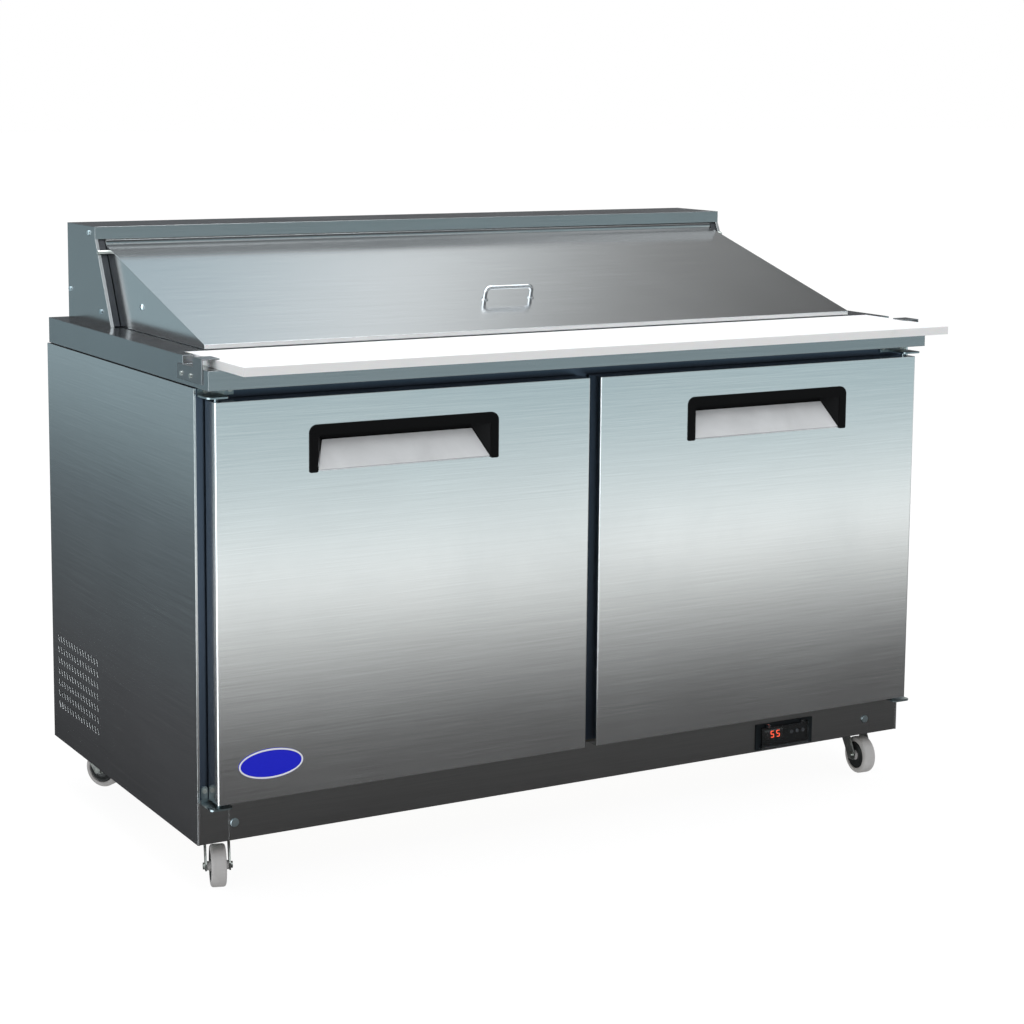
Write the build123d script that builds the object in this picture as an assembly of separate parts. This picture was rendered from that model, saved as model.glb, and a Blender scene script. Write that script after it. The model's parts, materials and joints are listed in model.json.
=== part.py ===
from build123d import *
import math
import os

# Two-door refrigerated sandwich prep table with a cutting board, a sloped lid and a raised rear hood.
# Millimetres, +Z up, +X to the user's right, the user stands at -Y.
# Origin: on the floor, at the centre of the overall footprint.

# ---- driving dimensions -------------------------------------------------------------------------
WIDTH = 1530.0              # worktop, side to side
TOTAL_DEPTH = 915.0         # board front edge to body rear
BODY_DEPTH = 763.0          # body front face to body rear
BASE_Z = 92.0               # underside of the base, on the casters
FLOOR_Z = 172.0             # underside of the insulated cabinet
SIDE_TOP_Z = 889.5          # top edge of the side panels
APRON_Z = 891.0             # lower edge of the worktop's band
WORKTOP_Z = 940.0           # worktop surface, level with the board
HOOD_Z = 1126.0             # top of the rear hood
SHEET = 1.2                 # stainless sheet
GAP = 0.3                   # clearance between bodies that move past each other
PIN_R = 4.0                 # door and lid hinge pins
RUN = 0.05                  # radial running clearance on a pin
HALF = WIDTH / 2
BODY_X = HALF + 4.0         # outer face of the side panels, just proud of the worktop
FACE_Y = TOTAL_DEPTH / 2 - BODY_DEPTH      # front face of the body; depths below are measured from it

# interior
CAVITY_X = HALF - 53.0      # half width inside the liner
LINER_FLOOR_Z = 215.0
LINER_TOP_Z = 850.0
STEP_DEPTH = 455.0          # the liner's floor steps up here, over the machine bay
STEP_Z = 385.0
CAVITY_DEPTH = 718.0
MACHINE_DEPTH = 475.0       # front of the machine bay
MACHINE_TOP_Z = 345.0
FRAME_T = 20.0              # face frame thickness
OPENING_X = 705.0           # half width of the two door openings
MULLION = 38.0              # half width of the centre mullion
NECK_DEPTH = (142.0, 690.0)  # throat of the cabinet under the pan well
OPENING_Z = (212.0, 836.0)

# pan well and pans
WELL_X = 660.0
WELL_DEPTH = (150.0, 682.0)
PAN_COLUMNS = 8
PAN_ROWS = ("front", "middle", "rear")
PAN_PITCH = (164.5, 177.0)
PAN_RIM = (162.4, 175.6)
PAN_BODY = (144.0, 158.0)
PAN_DEEP = 150.0
PAN_RIM_Z = 930.0
PAN_T = 1.2
PAN_LEDGE = 8.0             # ledge round the well that carries the pans' rims

# worktop and board
SIDE_STEP = 56.0            # the worktop's side bands drop to the shelf's level here
STEP_EDGE = 101.0           # rear edge of the board's recess, between the side bands
RECESS_X = 744.0
APRON_LIP = 22.0
APRON_DEPTH = -57.0         # apron front
SHELF_Z = 924.7
BOARD_T = 15.0
BOARD_X = 741.5
BOARD_DEPTH = (-152.0, STEP_EDGE - 0.5)

# doors
DOOR_X = (11.5, 750.0)
DOOR_Z = (174.0, 870.0)
DOOR_DEPTH = (-48.5, -5.0)
PIVOT = (738.0, -25.0)      # door pivot: distance from the centre line, depth
PIVOT_REACH = 14.0
GASKET_X = (18.0, 728.0)
GASKET_Z = (190.0, 856.0)
GASKET_W = 14.0
DYKE_X = (48.0, 694.0)      # raised inner panel of the door, inside the opening
DYKE_Z = (222.0, 826.0)
DYKE_DEPTH = 6.0
HANDLE_X = (205.0, 577.0)
HANDLE_Z = (738.0, 821.0)
HANDLE_BAR = 19.0
HANDLE_LEG = 16.0
POCKET_DEEP = 33.0
POCKET_DRAFT = 22.0
POCKET_WALL = 2.0

# lid and hood
HOOD_X = 723.5
HOOD_WALL = 6.0             # side walls; the hood's top and rear wall are insulated
HOOD_REAR = 18.0
HOOD_CHAMFER = 22.0
HOOD_EDGE = (522.0, 604.0)  # front edge of the hood's sides: at the worktop, at the top
HOOD_BAND = 24.0
LID_X = 703.0
LID_FRONT = 110.0
LID_PIVOT = (590.0, 1078.0)
LID_T = 18.0
LID_SLOPE = 16.1
LID_BOTTOM_Z = WORKTOP_Z + 1.0
LID_TAIL_Z = HOOD_Z - HOOD_BAND - 0.6      # the lid's tail stays under the hood's top
LID_TAIL_DEPTH = 700.0
LID_CHEEK = 12.0
LID_HANDLE = (-14.0, 51.0, 24.0, 4.0)      # centre X, half spacing, height, rod radius
LID_HANDLE_DEPTH = 255.0

# casters
CASTER_X = 709.0
CASTER_DEPTHS = {"front": 62.0, "rear": 700.0}
SWIVEL_AT_REST = {"front_left": -18.0, "front_right": -4.0, "rear_left": 35.0, "rear_right": -110.0}
WHEEL_R = 37.5
WHEEL_W = 27.0
FORK_GAP = 6.0              # between the wheel and a fork leg
FORK_T = 3.0
TRAIL = 27.0
AXLE_R = 4.0

# controller
CONTROL_X = 482.5
CONTROL_Z = 121.5
BEZEL = (137.5, 52.0)
WINDOW = (117.0, 40.0)
BUTTON_R = 3.6
COVER_AXIS = (-6.5, 143.0)

PARTS = {}


# ---- shapes -------------------------------------------------------------------------------------
def block(x, depth, z):
    """A box between pairs of limits; depth is measured from the body's front face."""
    size = (x[1] - x[0], depth[1] - depth[0], z[1] - z[0])
    centre = ((x[0] + x[1]) / 2, FACE_Y + (depth[0] + depth[1]) / 2, (z[0] + z[1]) / 2)
    return Pos(*centre) * Box(*size)


def prism(points, x):
    """A (depth, z) outline pushed along X."""
    outline = make_face(Polyline(*[(FACE_Y + depth, z) for depth, z in points], close=True))
    return extrude(Plane.YZ.offset(x[0]) * outline, x[1] - x[0], dir=(1, 0, 0))


def rod_x(x, depth, z, radius):
    length = x[1] - x[0]
    return Pos((x[0] + x[1]) / 2, FACE_Y + depth, z) * Rot(0, 90, 0) * Cylinder(radius, length)


def rod_y(x, depth, z, radius):
    length = depth[1] - depth[0]
    return Pos(x, FACE_Y + (depth[0] + depth[1]) / 2, z) * Rot(90, 0, 0) * Cylinder(radius, length)


def rod_z(x, depth, z, radius):
    return Pos(x, FACE_Y + depth, (z[0] + z[1]) / 2) * Cylinder(radius, z[1] - z[0])


def mirrored(shape):
    return mirror(shape, Plane.YZ)


def both_sides(shape):
    return [shape, mirrored(shape)]


def join(shapes):
    total = shapes[0]
    for shape in shapes[1:]:
        total = total + shape
    return total


def keep(node, *shapes):
    """Store one node: a single solid, or a group of separate solids."""
    solids = []
    for shape in shapes:
        solids.extend(shape.solids())
    PARTS[node] = solids[0] if len(solids) == 1 else Compound(children=solids)


def hex_bolt(reach=8.0, head=5.0, across=10.0, shank_r=3.0):
    """A flanged hexagon bolt along -Y: the head stands out towards -Y from the origin."""
    head_solid = extrude(RegularPolygon(across / 2, 6, major_radius=False), head)
    flange = Pos(0, 0, 0.75) * Cylinder(across * 0.62, 1.5)
    shank = Pos(0, 0, -reach / 2) * Cylinder(shank_r, reach)
    return Rot(90, 0, 0) * (head_solid + flange + shank)


def round_bolt(reach=8.0, radius=8.0):
    """A low round-headed bolt along -Y."""
    head = Pos(0, 0, 1.5) * Cylinder(radius, 3)
    head = fillet(head.edges().filter_by(GeomType.CIRCLE).sort_by(Axis.Z)[-1:], 1.6)
    return Rot(90, 0, 0) * (head + Pos(0, 0, -reach / 2) * Cylinder(3.0, reach))


def pan_screw(reach=8.0):
    """A cross-recess pan-head screw along -Y."""
    head = Pos(0, 0, 1.1) * Cylinder(4.2, 2.2)
    recess = Pos(0, 0, 1.8) * (Box(4.6, 1.0, 1.4) + Box(1.0, 4.6, 1.4))
    shank = Pos(0, 0, -reach / 2) * Cylinder(2.0, reach)
    return Rot(90, 0, 0) * (head - recess + shank)


# ---- body ---------------------------------------------------------------------------------------
LOUVRE_ROWS = 7
LOUVRE_COLUMNS = 15
LOUVRE_DEPTH = (500.0, 724.0)
LOUVRE_Z = (167.0, 302.0)
LOUVRE_SLOT = (5.0, 15.0)
LOUVRE_LEAN = 25.0
PANEL_FOLD = 18.0


def louvre_slots():
    """Leaning pill-shaped slots in the left side panel, over the machine bay."""
    pitch_y = (LOUVRE_DEPTH[1] - LOUVRE_DEPTH[0]) / (LOUVRE_COLUMNS - 1)
    pitch_z = (LOUVRE_Z[1] - LOUVRE_Z[0]) / (LOUVRE_ROWS - 1)
    slot = SlotOverall(LOUVRE_SLOT[1], LOUVRE_SLOT[0], rotation=90 - LOUVRE_LEAN)
    slots = []
    for row in range(LOUVRE_ROWS):
        for column in range(LOUVRE_COLUMNS):
            place = Pos(FACE_Y + LOUVRE_DEPTH[0] + column * pitch_y, LOUVRE_Z[0] + row * pitch_z)
            slots.append(place * slot)
    faces = Plane.YZ.offset(-BODY_X - SHEET) * Sketch(children=[s.face() for s in slots])
    return extrude(faces, SHEET * 4, dir=(1, 0, 0))


def side_panel():
    """Left side panel: flat sheet, folded at the front, top and rear, louvred at the lower rear."""
    tall = (BASE_Z, SIDE_TOP_Z)
    sheet = block((-BODY_X, -BODY_X + SHEET), (-SHEET, BODY_DEPTH), tall)
    front_fold = block((-BODY_X, -HALF), (-SHEET, 0), tall)
    top_fold = block((-BODY_X, -HALF + 4), (FRAME_T, BODY_DEPTH), (SIDE_TOP_Z - SHEET, SIDE_TOP_Z))
    rear_fold = block((-BODY_X, -BODY_X + PANEL_FOLD), (BODY_DEPTH - SHEET, BODY_DEPTH), tall)
    return join([sheet, front_fold, top_fold, rear_fold]) - louvre_slots()


def rear_panel():
    """Rear sheet between the side folds, with a louvred lower part over the machine bay."""
    depth = (BODY_DEPTH - SHEET, BODY_DEPTH)
    sheet = block((-BODY_X + PANEL_FOLD, BODY_X - PANEL_FOLD), depth, (BASE_Z + 20, SIDE_TOP_Z))
    slot = block((-28, 28), (BODY_DEPTH - 5, BODY_DEPTH + 5), (-2.5, 2.5))
    cuts = []
    for column in range(6):
        for row in range(9):
            cuts.append(Pos(-560 + column * 95, 0, 150 + row * 18) * slot)
    inlet = block(INLET_X, (BODY_DEPTH - 5, BODY_DEPTH + 5), INLET_Z)
    return sheet - cuts - inlet


def face_frame():
    """Front frame around the two door openings, with the centre mullion."""
    plate = block((-BODY_X + SHEET, BODY_X - SHEET), (0, FRAME_T), (FLOOR_Z, SIDE_TOP_Z))
    opening = block((MULLION, OPENING_X), (-1, FRAME_T + 1), OPENING_Z)
    return plate - both_sides(opening)


def cavity_outline(grow):
    """Inside of the cabinet in (depth, z): stepped at the lower rear, open above for the pans."""
    front = FRAME_T
    neck = (NECK_DEPTH[0] - grow, NECK_DEPTH[1] + grow)
    return [
        (front, LINER_FLOOR_Z - grow),
        (STEP_DEPTH + grow, LINER_FLOOR_Z - grow),
        (STEP_DEPTH + grow, STEP_Z - grow),
        (CAVITY_DEPTH + grow, STEP_Z - grow),
        (CAVITY_DEPTH + grow, LINER_TOP_Z + grow),
        (neck[1], LINER_TOP_Z + grow),
        (neck[1], SIDE_TOP_Z),
        (neck[0], SIDE_TOP_Z),
        (neck[0], LINER_TOP_Z + grow),
        (front, LINER_TOP_Z + grow),
    ]


def cavity(grow):
    reach = CAVITY_X + grow
    return prism(cavity_outline(grow), (-reach, reach))


def inner_liner():
    return cavity(SHEET) - cavity(0)


def insulation():
    inner = (-BODY_X + SHEET, BODY_X - SHEET)
    foam = block(inner, (FRAME_T, BODY_DEPTH - SHEET), (FLOOR_Z, SIDE_TOP_Z - SHEET))
    bay = block((-BODY_X, BODY_X), (MACHINE_DEPTH, BODY_DEPTH), (0, MACHINE_TOP_Z))
    return foam - cavity(SHEET) - bay


BASE_RAIL = 60.0            # width of the base's channel rails
BASE_RAIL_H = 20.0
BASE_FRONT = 50.0           # the front rail stands behind the controller
DECK_DEPTH = 440.0
DECK_Z = BASE_Z + 3.0       # top of the machine deck
KICK_X = (-711.0, 699.0)    # the kick panel's ends, between the corner posts
KICK_T = 1.5
KICK_TOP_Z = FLOOR_Z - 4.0
KICK_BOLTS = (-700.5, 686.5)
KICK_BOLT_Z = 123.5
HOOD_BOLTS = ((575.0, 966.0), (639.0, 1113.0), (751.0, 996.0))


def base_frame():
    """Welded base: a ring of channel, four corner posts and the machine deck."""
    inner = BODY_X - SHEET
    rear = BODY_DEPTH - SHEET
    wall = 2.5
    ring = block((-inner, inner), (BASE_FRONT, rear), (BASE_Z, BASE_Z + BASE_RAIL_H))
    ring = ring - block((-inner + wall, inner - wall), (BASE_FRONT + wall, rear - wall),
                        (BASE_Z + wall, BASE_Z + BASE_RAIL_H - wall))
    middle_x = (-inner + BASE_RAIL, inner - BASE_RAIL)
    middle_depth = (BASE_FRONT + BASE_RAIL, rear - BASE_RAIL)
    ring = ring - block(middle_x, middle_depth, (0, FLOOR_Z))
    deck = block(middle_x, (DECK_DEPTH, middle_depth[1]), (BASE_Z, DECK_Z))
    tall = (BASE_Z, FLOOR_Z)
    posts = []
    for x in ((-inner, KICK_X[0] - GAP), (KICK_X[1] + GAP, inner)):
        outer = (x[0], x[0] + wall) if x[0] < 0 else (x[1] - wall, x[1])
        posts.append(block(x, (0, wall), tall) + block(outer, (0, BASE_FRONT), tall))
        posts.append(block(x, (rear - wall, rear), tall) + block(outer, (rear - BASE_RAIL, rear), tall))
    return join([ring, deck] + posts)


def kick_panel():
    """Removable panel under the doors, with the controller's cut-out."""
    sheet = block(KICK_X, (0, KICK_T), (BASE_Z, KICK_TOP_Z))
    top_fold = block(KICK_X, (0, 18), (KICK_TOP_Z - KICK_T, KICK_TOP_Z))
    cut = block((CONTROL_X - 61, CONTROL_X + 61), (-5, 10), (CONTROL_Z - 22, CONTROL_Z + 22))
    panel = sheet + top_fold - cut
    for x in KICK_BOLTS:
        panel = panel - rod_y(x, (-5, 5), KICK_BOLT_Z, 3.0)
    return panel


def panel_bolts():
    bolts = [Pos(x, FACE_Y, KICK_BOLT_Z) * round_bolt() for x in KICK_BOLTS]
    for depth, z in HOOD_BOLTS:
        bolt = Pos(-HOOD_X, FACE_Y + depth, z) * Rot(0, 0, -90) * hex_bolt(across=8.0, head=3.0)
        bolts.extend(both_sides(bolt))
    return bolts


def worktop_outline(inset):
    """Worktop at its side bands in (depth, z): level rear, dropped shelf, apron in front."""
    under = APRON_Z - 1 if inset else APRON_Z
    return [
        (APRON_DEPTH + inset, under),
        (APRON_DEPTH + inset, SHELF_Z - inset),
        (SIDE_STEP + inset, SHELF_Z - inset),
        (SIDE_STEP + inset, WORKTOP_Z - inset),
        (BODY_DEPTH - inset, WORKTOP_Z - inset),
        (BODY_DEPTH - inset, under),
    ]


def worktop():
    """Folded worktop: band all round, recess for the board, well opening with a pan ledge."""
    shell = prism(worktop_outline(0), (-HALF, HALF))
    shell = shell - prism(worktop_outline(SHEET), (-HALF + SHEET, HALF - SHEET))
    tray_x = (-RECESS_X - SHEET, RECESS_X + SHEET)
    tray = block(tray_x, (SIDE_STEP, STEP_EDGE + SHEET), (SHELF_Z - SHEET, WORKTOP_Z))
    recess = block((-RECESS_X, RECESS_X), (SIDE_STEP - 5, STEP_EDGE), (SHELF_Z, WORKTOP_Z + 5))
    well_depth = (WELL_DEPTH[0] - SHEET, WELL_DEPTH[1] + SHEET)
    wall = block((-WELL_X - SHEET, WELL_X + SHEET), well_depth, (APRON_Z, WORKTOP_Z))
    ledge_depth = (WELL_DEPTH[0] + PAN_LEDGE, WELL_DEPTH[1] - PAN_LEDGE)
    ledge_hole = block((-WELL_X + PAN_LEDGE, WELL_X - PAN_LEDGE), ledge_depth, (APRON_Z - 5, WORKTOP_Z + 5))
    above = block((-WELL_X, WELL_X), WELL_DEPTH, (PAN_RIM_Z, WORKTOP_Z + 5))
    below = block((-WELL_X, WELL_X), WELL_DEPTH, (APRON_Z - 5, PAN_RIM_Z - SHEET))
    lip = block((-HALF, HALF), (APRON_DEPTH, APRON_DEPTH + APRON_LIP), (APRON_Z, APRON_Z + SHEET))
    return join([shell, tray, wall, lip]) - recess - ledge_hole - above - below


def pan():
    """One sixth-size pan, hanging by its rim; origin at the rim's underside, in the centre."""
    rim = Pos(0, 0, PAN_T / 2) * Box(PAN_RIM[0], PAN_RIM[1], PAN_T)
    rim = fillet(rim.edges().filter_by(Axis.Z), 14)
    body = Pos(0, 0, -PAN_DEEP / 2) * Box(PAN_BODY[0], PAN_BODY[1], PAN_DEEP)
    body = fillet(body.edges().filter_by(Axis.Z), 16)
    hollow = Pos(0, 0, PAN_T / 2) * Box(PAN_BODY[0] - 2 * PAN_T, PAN_BODY[1] - 2 * PAN_T, PAN_DEEP)
    hollow = Pos(0, 0, -PAN_DEEP / 2 + PAN_T) * fillet(hollow.edges().filter_by(Axis.Z), 15)
    return rim + body - hollow


def pan_row(row):
    depth = (WELL_DEPTH[0] + WELL_DEPTH[1]) / 2 + (row - 1) * PAN_PITCH[1]
    pans = []
    for column in range(PAN_COLUMNS):
        x = (column - (PAN_COLUMNS - 1) / 2) * PAN_PITCH[0]
        pans.append(Pos(x, FACE_Y + depth, PAN_RIM_Z) * pan())
    return pans


def divider_bars():
    middle = (WELL_DEPTH[0] + WELL_DEPTH[1]) / 2
    bars = []
    for side in (-1, 1):
        depth = middle + side * PAN_PITCH[1] / 2
        section = [(depth - 7, PAN_RIM_Z - 12), (depth - 7, PAN_RIM_Z), (depth + 7, PAN_RIM_Z),
                   (depth + 7, PAN_RIM_Z - 12), (depth + 5, PAN_RIM_Z - 12), (depth + 5, PAN_RIM_Z - 2),
                   (depth - 5, PAN_RIM_Z - 2), (depth - 5, PAN_RIM_Z - 12)]
        bars.append(prism(section, (-WELL_X + PAN_LEDGE, WELL_X - PAN_LEDGE)))
    return bars


BRACKET_DEPTH = (-33.0, 76.0)
ARM_DEPTH = (-33.0, 6.0)
BRACKET_Z = (899.0, 925.0)
BRACKET_T = 2.0
BRACKET_SCREWS = (16.0, 58.0)
BRACKET_SCREW_Z = 909.0


def board_bracket():
    """Left bracket: plate on the worktop's band, arm up, tab over the board's end."""
    x = (-HALF - BRACKET_T, -HALF)
    plate = block(x, BRACKET_DEPTH, BRACKET_Z)
    top = WORKTOP_Z + GAP + BRACKET_T
    arm = block(x, ARM_DEPTH, (BRACKET_Z[0], top))
    tab = block((x[0], -BOARD_X + 7), ARM_DEPTH, (WORKTOP_Z + GAP, top))
    shape = plate + arm + tab
    for depth in BRACKET_SCREWS:
        shape = shape - Pos(-HALF, FACE_Y + depth, BRACKET_SCREW_Z) * Rot(0, 90, 0) * Cylinder(2.0, 10)
    return shape


HINGE_PLATE_X = (-763.0, -722.0)
HINGE_PLATE_DEPTH = (-50.0, 0.0)
HINGE_PLATE_T = 3.0
HINGE_DROP = 6.0            # between the door and the bracket's plate
HINGE_SCREWS_TOP = ((-749.0, 884.5), (-704.0, 884.5))
HINGE_SCREWS_LOW = ((-757.0, 189.0),)


def hinge_bracket(top):
    """Left door bracket: leaf on the face frame, plate over or under the door, pin into the door."""
    if top:
        plate_z = (DOOR_Z[1] + HINGE_DROP, DOOR_Z[1] + HINGE_DROP + HINGE_PLATE_T)
        leaf = block((HINGE_PLATE_X[0], -697), (-3, 0), (plate_z[0], SIDE_TOP_Z - 0.5))
        pin_z = (DOOR_Z[1] - PIVOT_REACH, plate_z[1])
        screws = HINGE_SCREWS_TOP
    else:
        plate_z = (DOOR_Z[0] - HINGE_DROP - HINGE_PLATE_T, DOOR_Z[0] - HINGE_DROP)
        leaf = block((HINGE_PLATE_X[0], -751), (-3, 0), (plate_z[0], 197))
        leaf = fillet(leaf.edges().filter_by(Axis.Y).sort_by(Axis.Z)[-2:], 5)
        pin_z = (plate_z[0], DOOR_Z[0] + PIVOT_REACH)
        screws = HINGE_SCREWS_LOW
    plate = block(HINGE_PLATE_X, HINGE_PLATE_DEPTH, plate_z)
    plate = fillet(plate.edges().filter_by(Axis.Z).sort_by(Axis.Y)[:2], 9)
    bracket = leaf + plate + rod_z(-PIVOT[0], PIVOT[1], pin_z, PIN_R)
    for x, z in screws:
        bracket = bracket - rod_y(x, (-4, 1), z, 2.0)
    return bracket


def small_screws():
    """Screws of the board brackets and of the door hinge brackets."""
    screws = []
    for depth in BRACKET_SCREWS:
        place = Pos(-HALF - BRACKET_T, FACE_Y + depth, BRACKET_SCREW_Z) * Rot(0, 0, -90)
        screws.extend(both_sides(place * pan_screw(BRACKET_T)))
    for x, z in HINGE_SCREWS_TOP + HINGE_SCREWS_LOW:
        screws.extend(both_sides(Pos(x, FACE_Y - 3, z) * pan_screw(3.0)))
    return screws


# ---- hood ---------------------------------------------------------------------------------------
def hood_box():
    """Rear hood: insulated rear wall and top, thin side walls with a slanted front edge."""
    foot = WORKTOP_Z
    side = [(HOOD_EDGE[0], foot), (HOOD_EDGE[1], HOOD_Z - HOOD_BAND), (HOOD_EDGE[1], HOOD_Z),
            (BODY_DEPTH, HOOD_Z), (BODY_DEPTH, foot)]
    hood = prism(side, (-HOOD_X, HOOD_X))
    inside = HOOD_X - HOOD_WALL
    front, rear, ceiling = HOOD_EDGE[0] - 9, BODY_DEPTH - HOOD_REAR, HOOD_Z - HOOD_BAND
    hollow = [(front, foot - 1), (front, ceiling), (rear - HOOD_CHAMFER, ceiling),
              (rear, ceiling - HOOD_CHAMFER), (rear, foot - 1)]
    hood = hood - prism(hollow, (-inside, inside))
    holes = [rod_x((-HOOD_X - 1, -inside + 1), LID_PIVOT[0], LID_PIVOT[1], PIN_R)]
    holes.extend(rod_x((-HOOD_X - 1, -HOOD_X + 9), depth, z, 3.0) for depth, z in HOOD_BOLTS)
    for hole in holes:
        hood = hood - both_sides(hole)
    return hood


# ---- lid ----------------------------------------------------------------------------------------
def lid_line(offset, depth):
    """Height of a line parallel to the lid's slope, offset up from the pivot."""
    slope = math.radians(LID_SLOPE)
    return LID_PIVOT[1] + (depth - LID_PIVOT[0]) * math.tan(slope) + offset / math.cos(slope)


def lid_body():
    """Outer shape: sloped top, low front lip, cheeks that end in an arc about the pivot."""
    half = LID_T / 2
    depth, height = LID_PIVOT
    reach = height - LID_BOTTOM_Z
    outline = [(LID_FRONT, lid_line(half, LID_FRONT)), (LID_FRONT, LID_BOTTOM_Z)]
    for angle in range(-90, 15, 15):
        turn = math.radians(angle)
        outline.append((depth + reach * math.cos(turn), height + reach * math.sin(turn)))
    slope = math.tan(math.radians(LID_SLOPE))
    tail_depth = depth + (LID_TAIL_Z - lid_line(half, depth)) / slope
    outline += [(LID_TAIL_DEPTH, LID_TAIL_Z), (tail_depth, LID_TAIL_Z)]
    body = prism(outline, (-LID_X, LID_X))
    for hole in both_sides(rod_x((-LID_X - 1, -LID_X + LID_CHEEK + 1), depth, height, PIN_R + RUN)):
        body = body - hole
    return body


def below_lid_line(offset, x, front, rear=BODY_DEPTH):
    low = LID_BOTTOM_Z - 50
    outline = [(front, low), (front, lid_line(offset, front)), (rear, lid_line(offset, rear)), (rear, low)]
    return prism(outline, (-x, x))


def lid_skin():
    """Outer stainless sheet with the front lip and the cheeks' outer faces."""
    inner = below_lid_line(LID_T / 2 - SHEET, LID_X - SHEET, LID_FRONT + SHEET)
    return (lid_body() - inner).solids().sort_by(SortBy.VOLUME)[-1:]


def lid_liner():
    """Insulated inner shell of the lid and its cheeks."""
    inner = below_lid_line(LID_T / 2 - SHEET, LID_X - SHEET, LID_FRONT + SHEET)
    hollow = below_lid_line(-LID_T / 2, LID_X - LID_CHEEK, LID_FRONT + 12)
    return ((lid_body() & inner) - hollow).solids().sort_by(SortBy.VOLUME)[-1:]


def lid_handle():
    """Bent rod with two feet welded to the lid."""
    centre, half, height, radius = LID_HANDLE
    corner = 10.0
    path = FilletPolyline((-half, 0, 0), (-half, 0, height), (half, 0, height), (half, 0, 0), radius=corner)
    bar = sweep(Plane(origin=path @ 0, z_dir=path % 0) * Circle(radius), path)
    feet = [Pos(x, 0, 0.75) * Cylinder(radius + 3, 1.5) for x in (-half, half)]
    place = Pos(centre, FACE_Y + LID_HANDLE_DEPTH, lid_line(LID_T / 2, LID_HANDLE_DEPTH))
    return place * Rot(LID_SLOPE, 0, 0) * join([bar] + feet)


def lid_hinge_pins():
    reach = (-HOOD_X, -LID_X + LID_CHEEK - 2)
    return both_sides(rod_x(reach, LID_PIVOT[0], LID_PIVOT[1], PIN_R))


# ---- doors (built as the right door; the left is its mirror image) --------------------------------
POCKET_X = (HANDLE_X[0] + HANDLE_LEG, HANDLE_X[1] - HANDLE_LEG)
POCKET_FRONT_Z = (740.0, HANDLE_Z[1] - HANDLE_BAR)
POCKET_TOP_Z = 816.0
RAMP_TOP_Z = 790.0
HANDLE_CORNER = 15.0
POCKET_CORNER = 5.0
BADGE = (-652.0, 236.0, 121.0, 53.0)       # centre X, centre Z, width, height


def pin_holes():
    low = rod_z(PIVOT[0], PIVOT[1], (DOOR_Z[0] - 1, DOOR_Z[0] + PIVOT_REACH + 2), PIN_R + RUN)
    high = rod_z(PIVOT[0], PIVOT[1], (DOOR_Z[1] - PIVOT_REACH - 2, DOOR_Z[1] + 1), PIN_R + RUN)
    return [low, high]


def pocket(grow):
    """Finger pocket: a ramp rises inwards behind the top bar, and the ends draw in."""
    front, back = DOOR_DEPTH[0], DOOR_DEPTH[0] + POCKET_DEEP
    bottom, lip = POCKET_FRONT_Z
    ceiling = POCKET_TOP_Z + grow
    outline = [(front - 4, bottom - grow), (front - 4, lip), (front + 3, lip), (front + 3, ceiling),
               (back + grow, ceiling), (back + grow, RAMP_TOP_Z - grow), (front, bottom - grow)]
    low, high = POCKET_X[0] - grow, POCKET_X[1] + grow
    plan = [(low, front - 5), (high, front - 5), (high, front + 1), (high - POCKET_DRAFT, back + grow),
            (low + POCKET_DRAFT, back + grow), (low, front + 1)]
    face = make_face(Polyline(*[(x, FACE_Y + depth) for x, depth in plan], close=True))
    return prism(outline, HANDLE_X) & extrude(Plane.XY.offset(HANDLE_Z[0] - 20) * face, 140)


def ramp():
    """Sheet folded in from the door's face, along the pocket's floor."""
    front, back = DOOR_DEPTH[0], DOOR_DEPTH[0] + POCKET_DEEP
    low = POCKET_FRONT_Z[0]
    outline = [(front, low), (back, RAMP_TOP_Z), (back, RAMP_TOP_Z - 2),
               (front + SHEET, low - 2), (front, low - 2)]
    return prism(outline, HANDLE_X) & pocket(POCKET_WALL)


def door_skin():
    outer = block(DOOR_X, DOOR_DEPTH, DOOR_Z)
    outer = fillet(outer.edges().filter_by(Axis.Z).sort_by(Axis.Y)[:2], 3)
    x = (DOOR_X[0] + SHEET, DOOR_X[1] - SHEET)
    z = (DOOR_Z[0] + SHEET, DOOR_Z[1] - SHEET)
    hollow = block(x, (DOOR_DEPTH[0] + SHEET, DOOR_DEPTH[1] - SHEET), z)
    rear = block((x[0] + 8, x[1] - 8), (DOOR_DEPTH[1] - 2, DOOR_DEPTH[1] + 1), (z[0] + 8, z[1] - 8))
    cut_x = (POCKET_X[0] - POCKET_WALL - 2, POCKET_X[1] + POCKET_WALL + 2)
    cut = block(cut_x, (DOOR_DEPTH[0] - 1, DOOR_DEPTH[0] + 2), (POCKET_FRONT_Z[0], POCKET_TOP_Z + POCKET_WALL))
    return outer - hollow - rear - cut - pin_holes() + ramp()


def door_core():
    """White inner panel with its foam: fills the skin, with a raised dyke inside the opening."""
    x = (DOOR_X[0] + SHEET, DOOR_X[1] - SHEET)
    z = (DOOR_Z[0] + SHEET, DOOR_Z[1] - SHEET)
    core = block(x, (DOOR_DEPTH[0] + SHEET, DOOR_DEPTH[1] - SHEET), z)
    core = core + block(DYKE_X, (DOOR_DEPTH[1] - SHEET - 1, DYKE_DEPTH), DYKE_Z)
    cut_depth = (DOOR_DEPTH[0], DOOR_DEPTH[0] + POCKET_DEEP + 3)
    cut = block((HANDLE_X[0] - 2, HANDLE_X[1] + 2), cut_depth, (HANDLE_Z[0] - 4, HANDLE_Z[1] + 2))
    return core - cut - pin_holes()


def door_gasket():
    depth = (DOOR_DEPTH[1], -GAP)
    outer = block(GASKET_X, depth, GASKET_Z)
    inner = block((GASKET_X[0] + GASKET_W, GASKET_X[1] - GASKET_W), (depth[0] - 1, depth[1] + 1),
                  (GASKET_Z[0] + GASKET_W, GASKET_Z[1] - GASKET_W))
    return outer - inner


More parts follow.
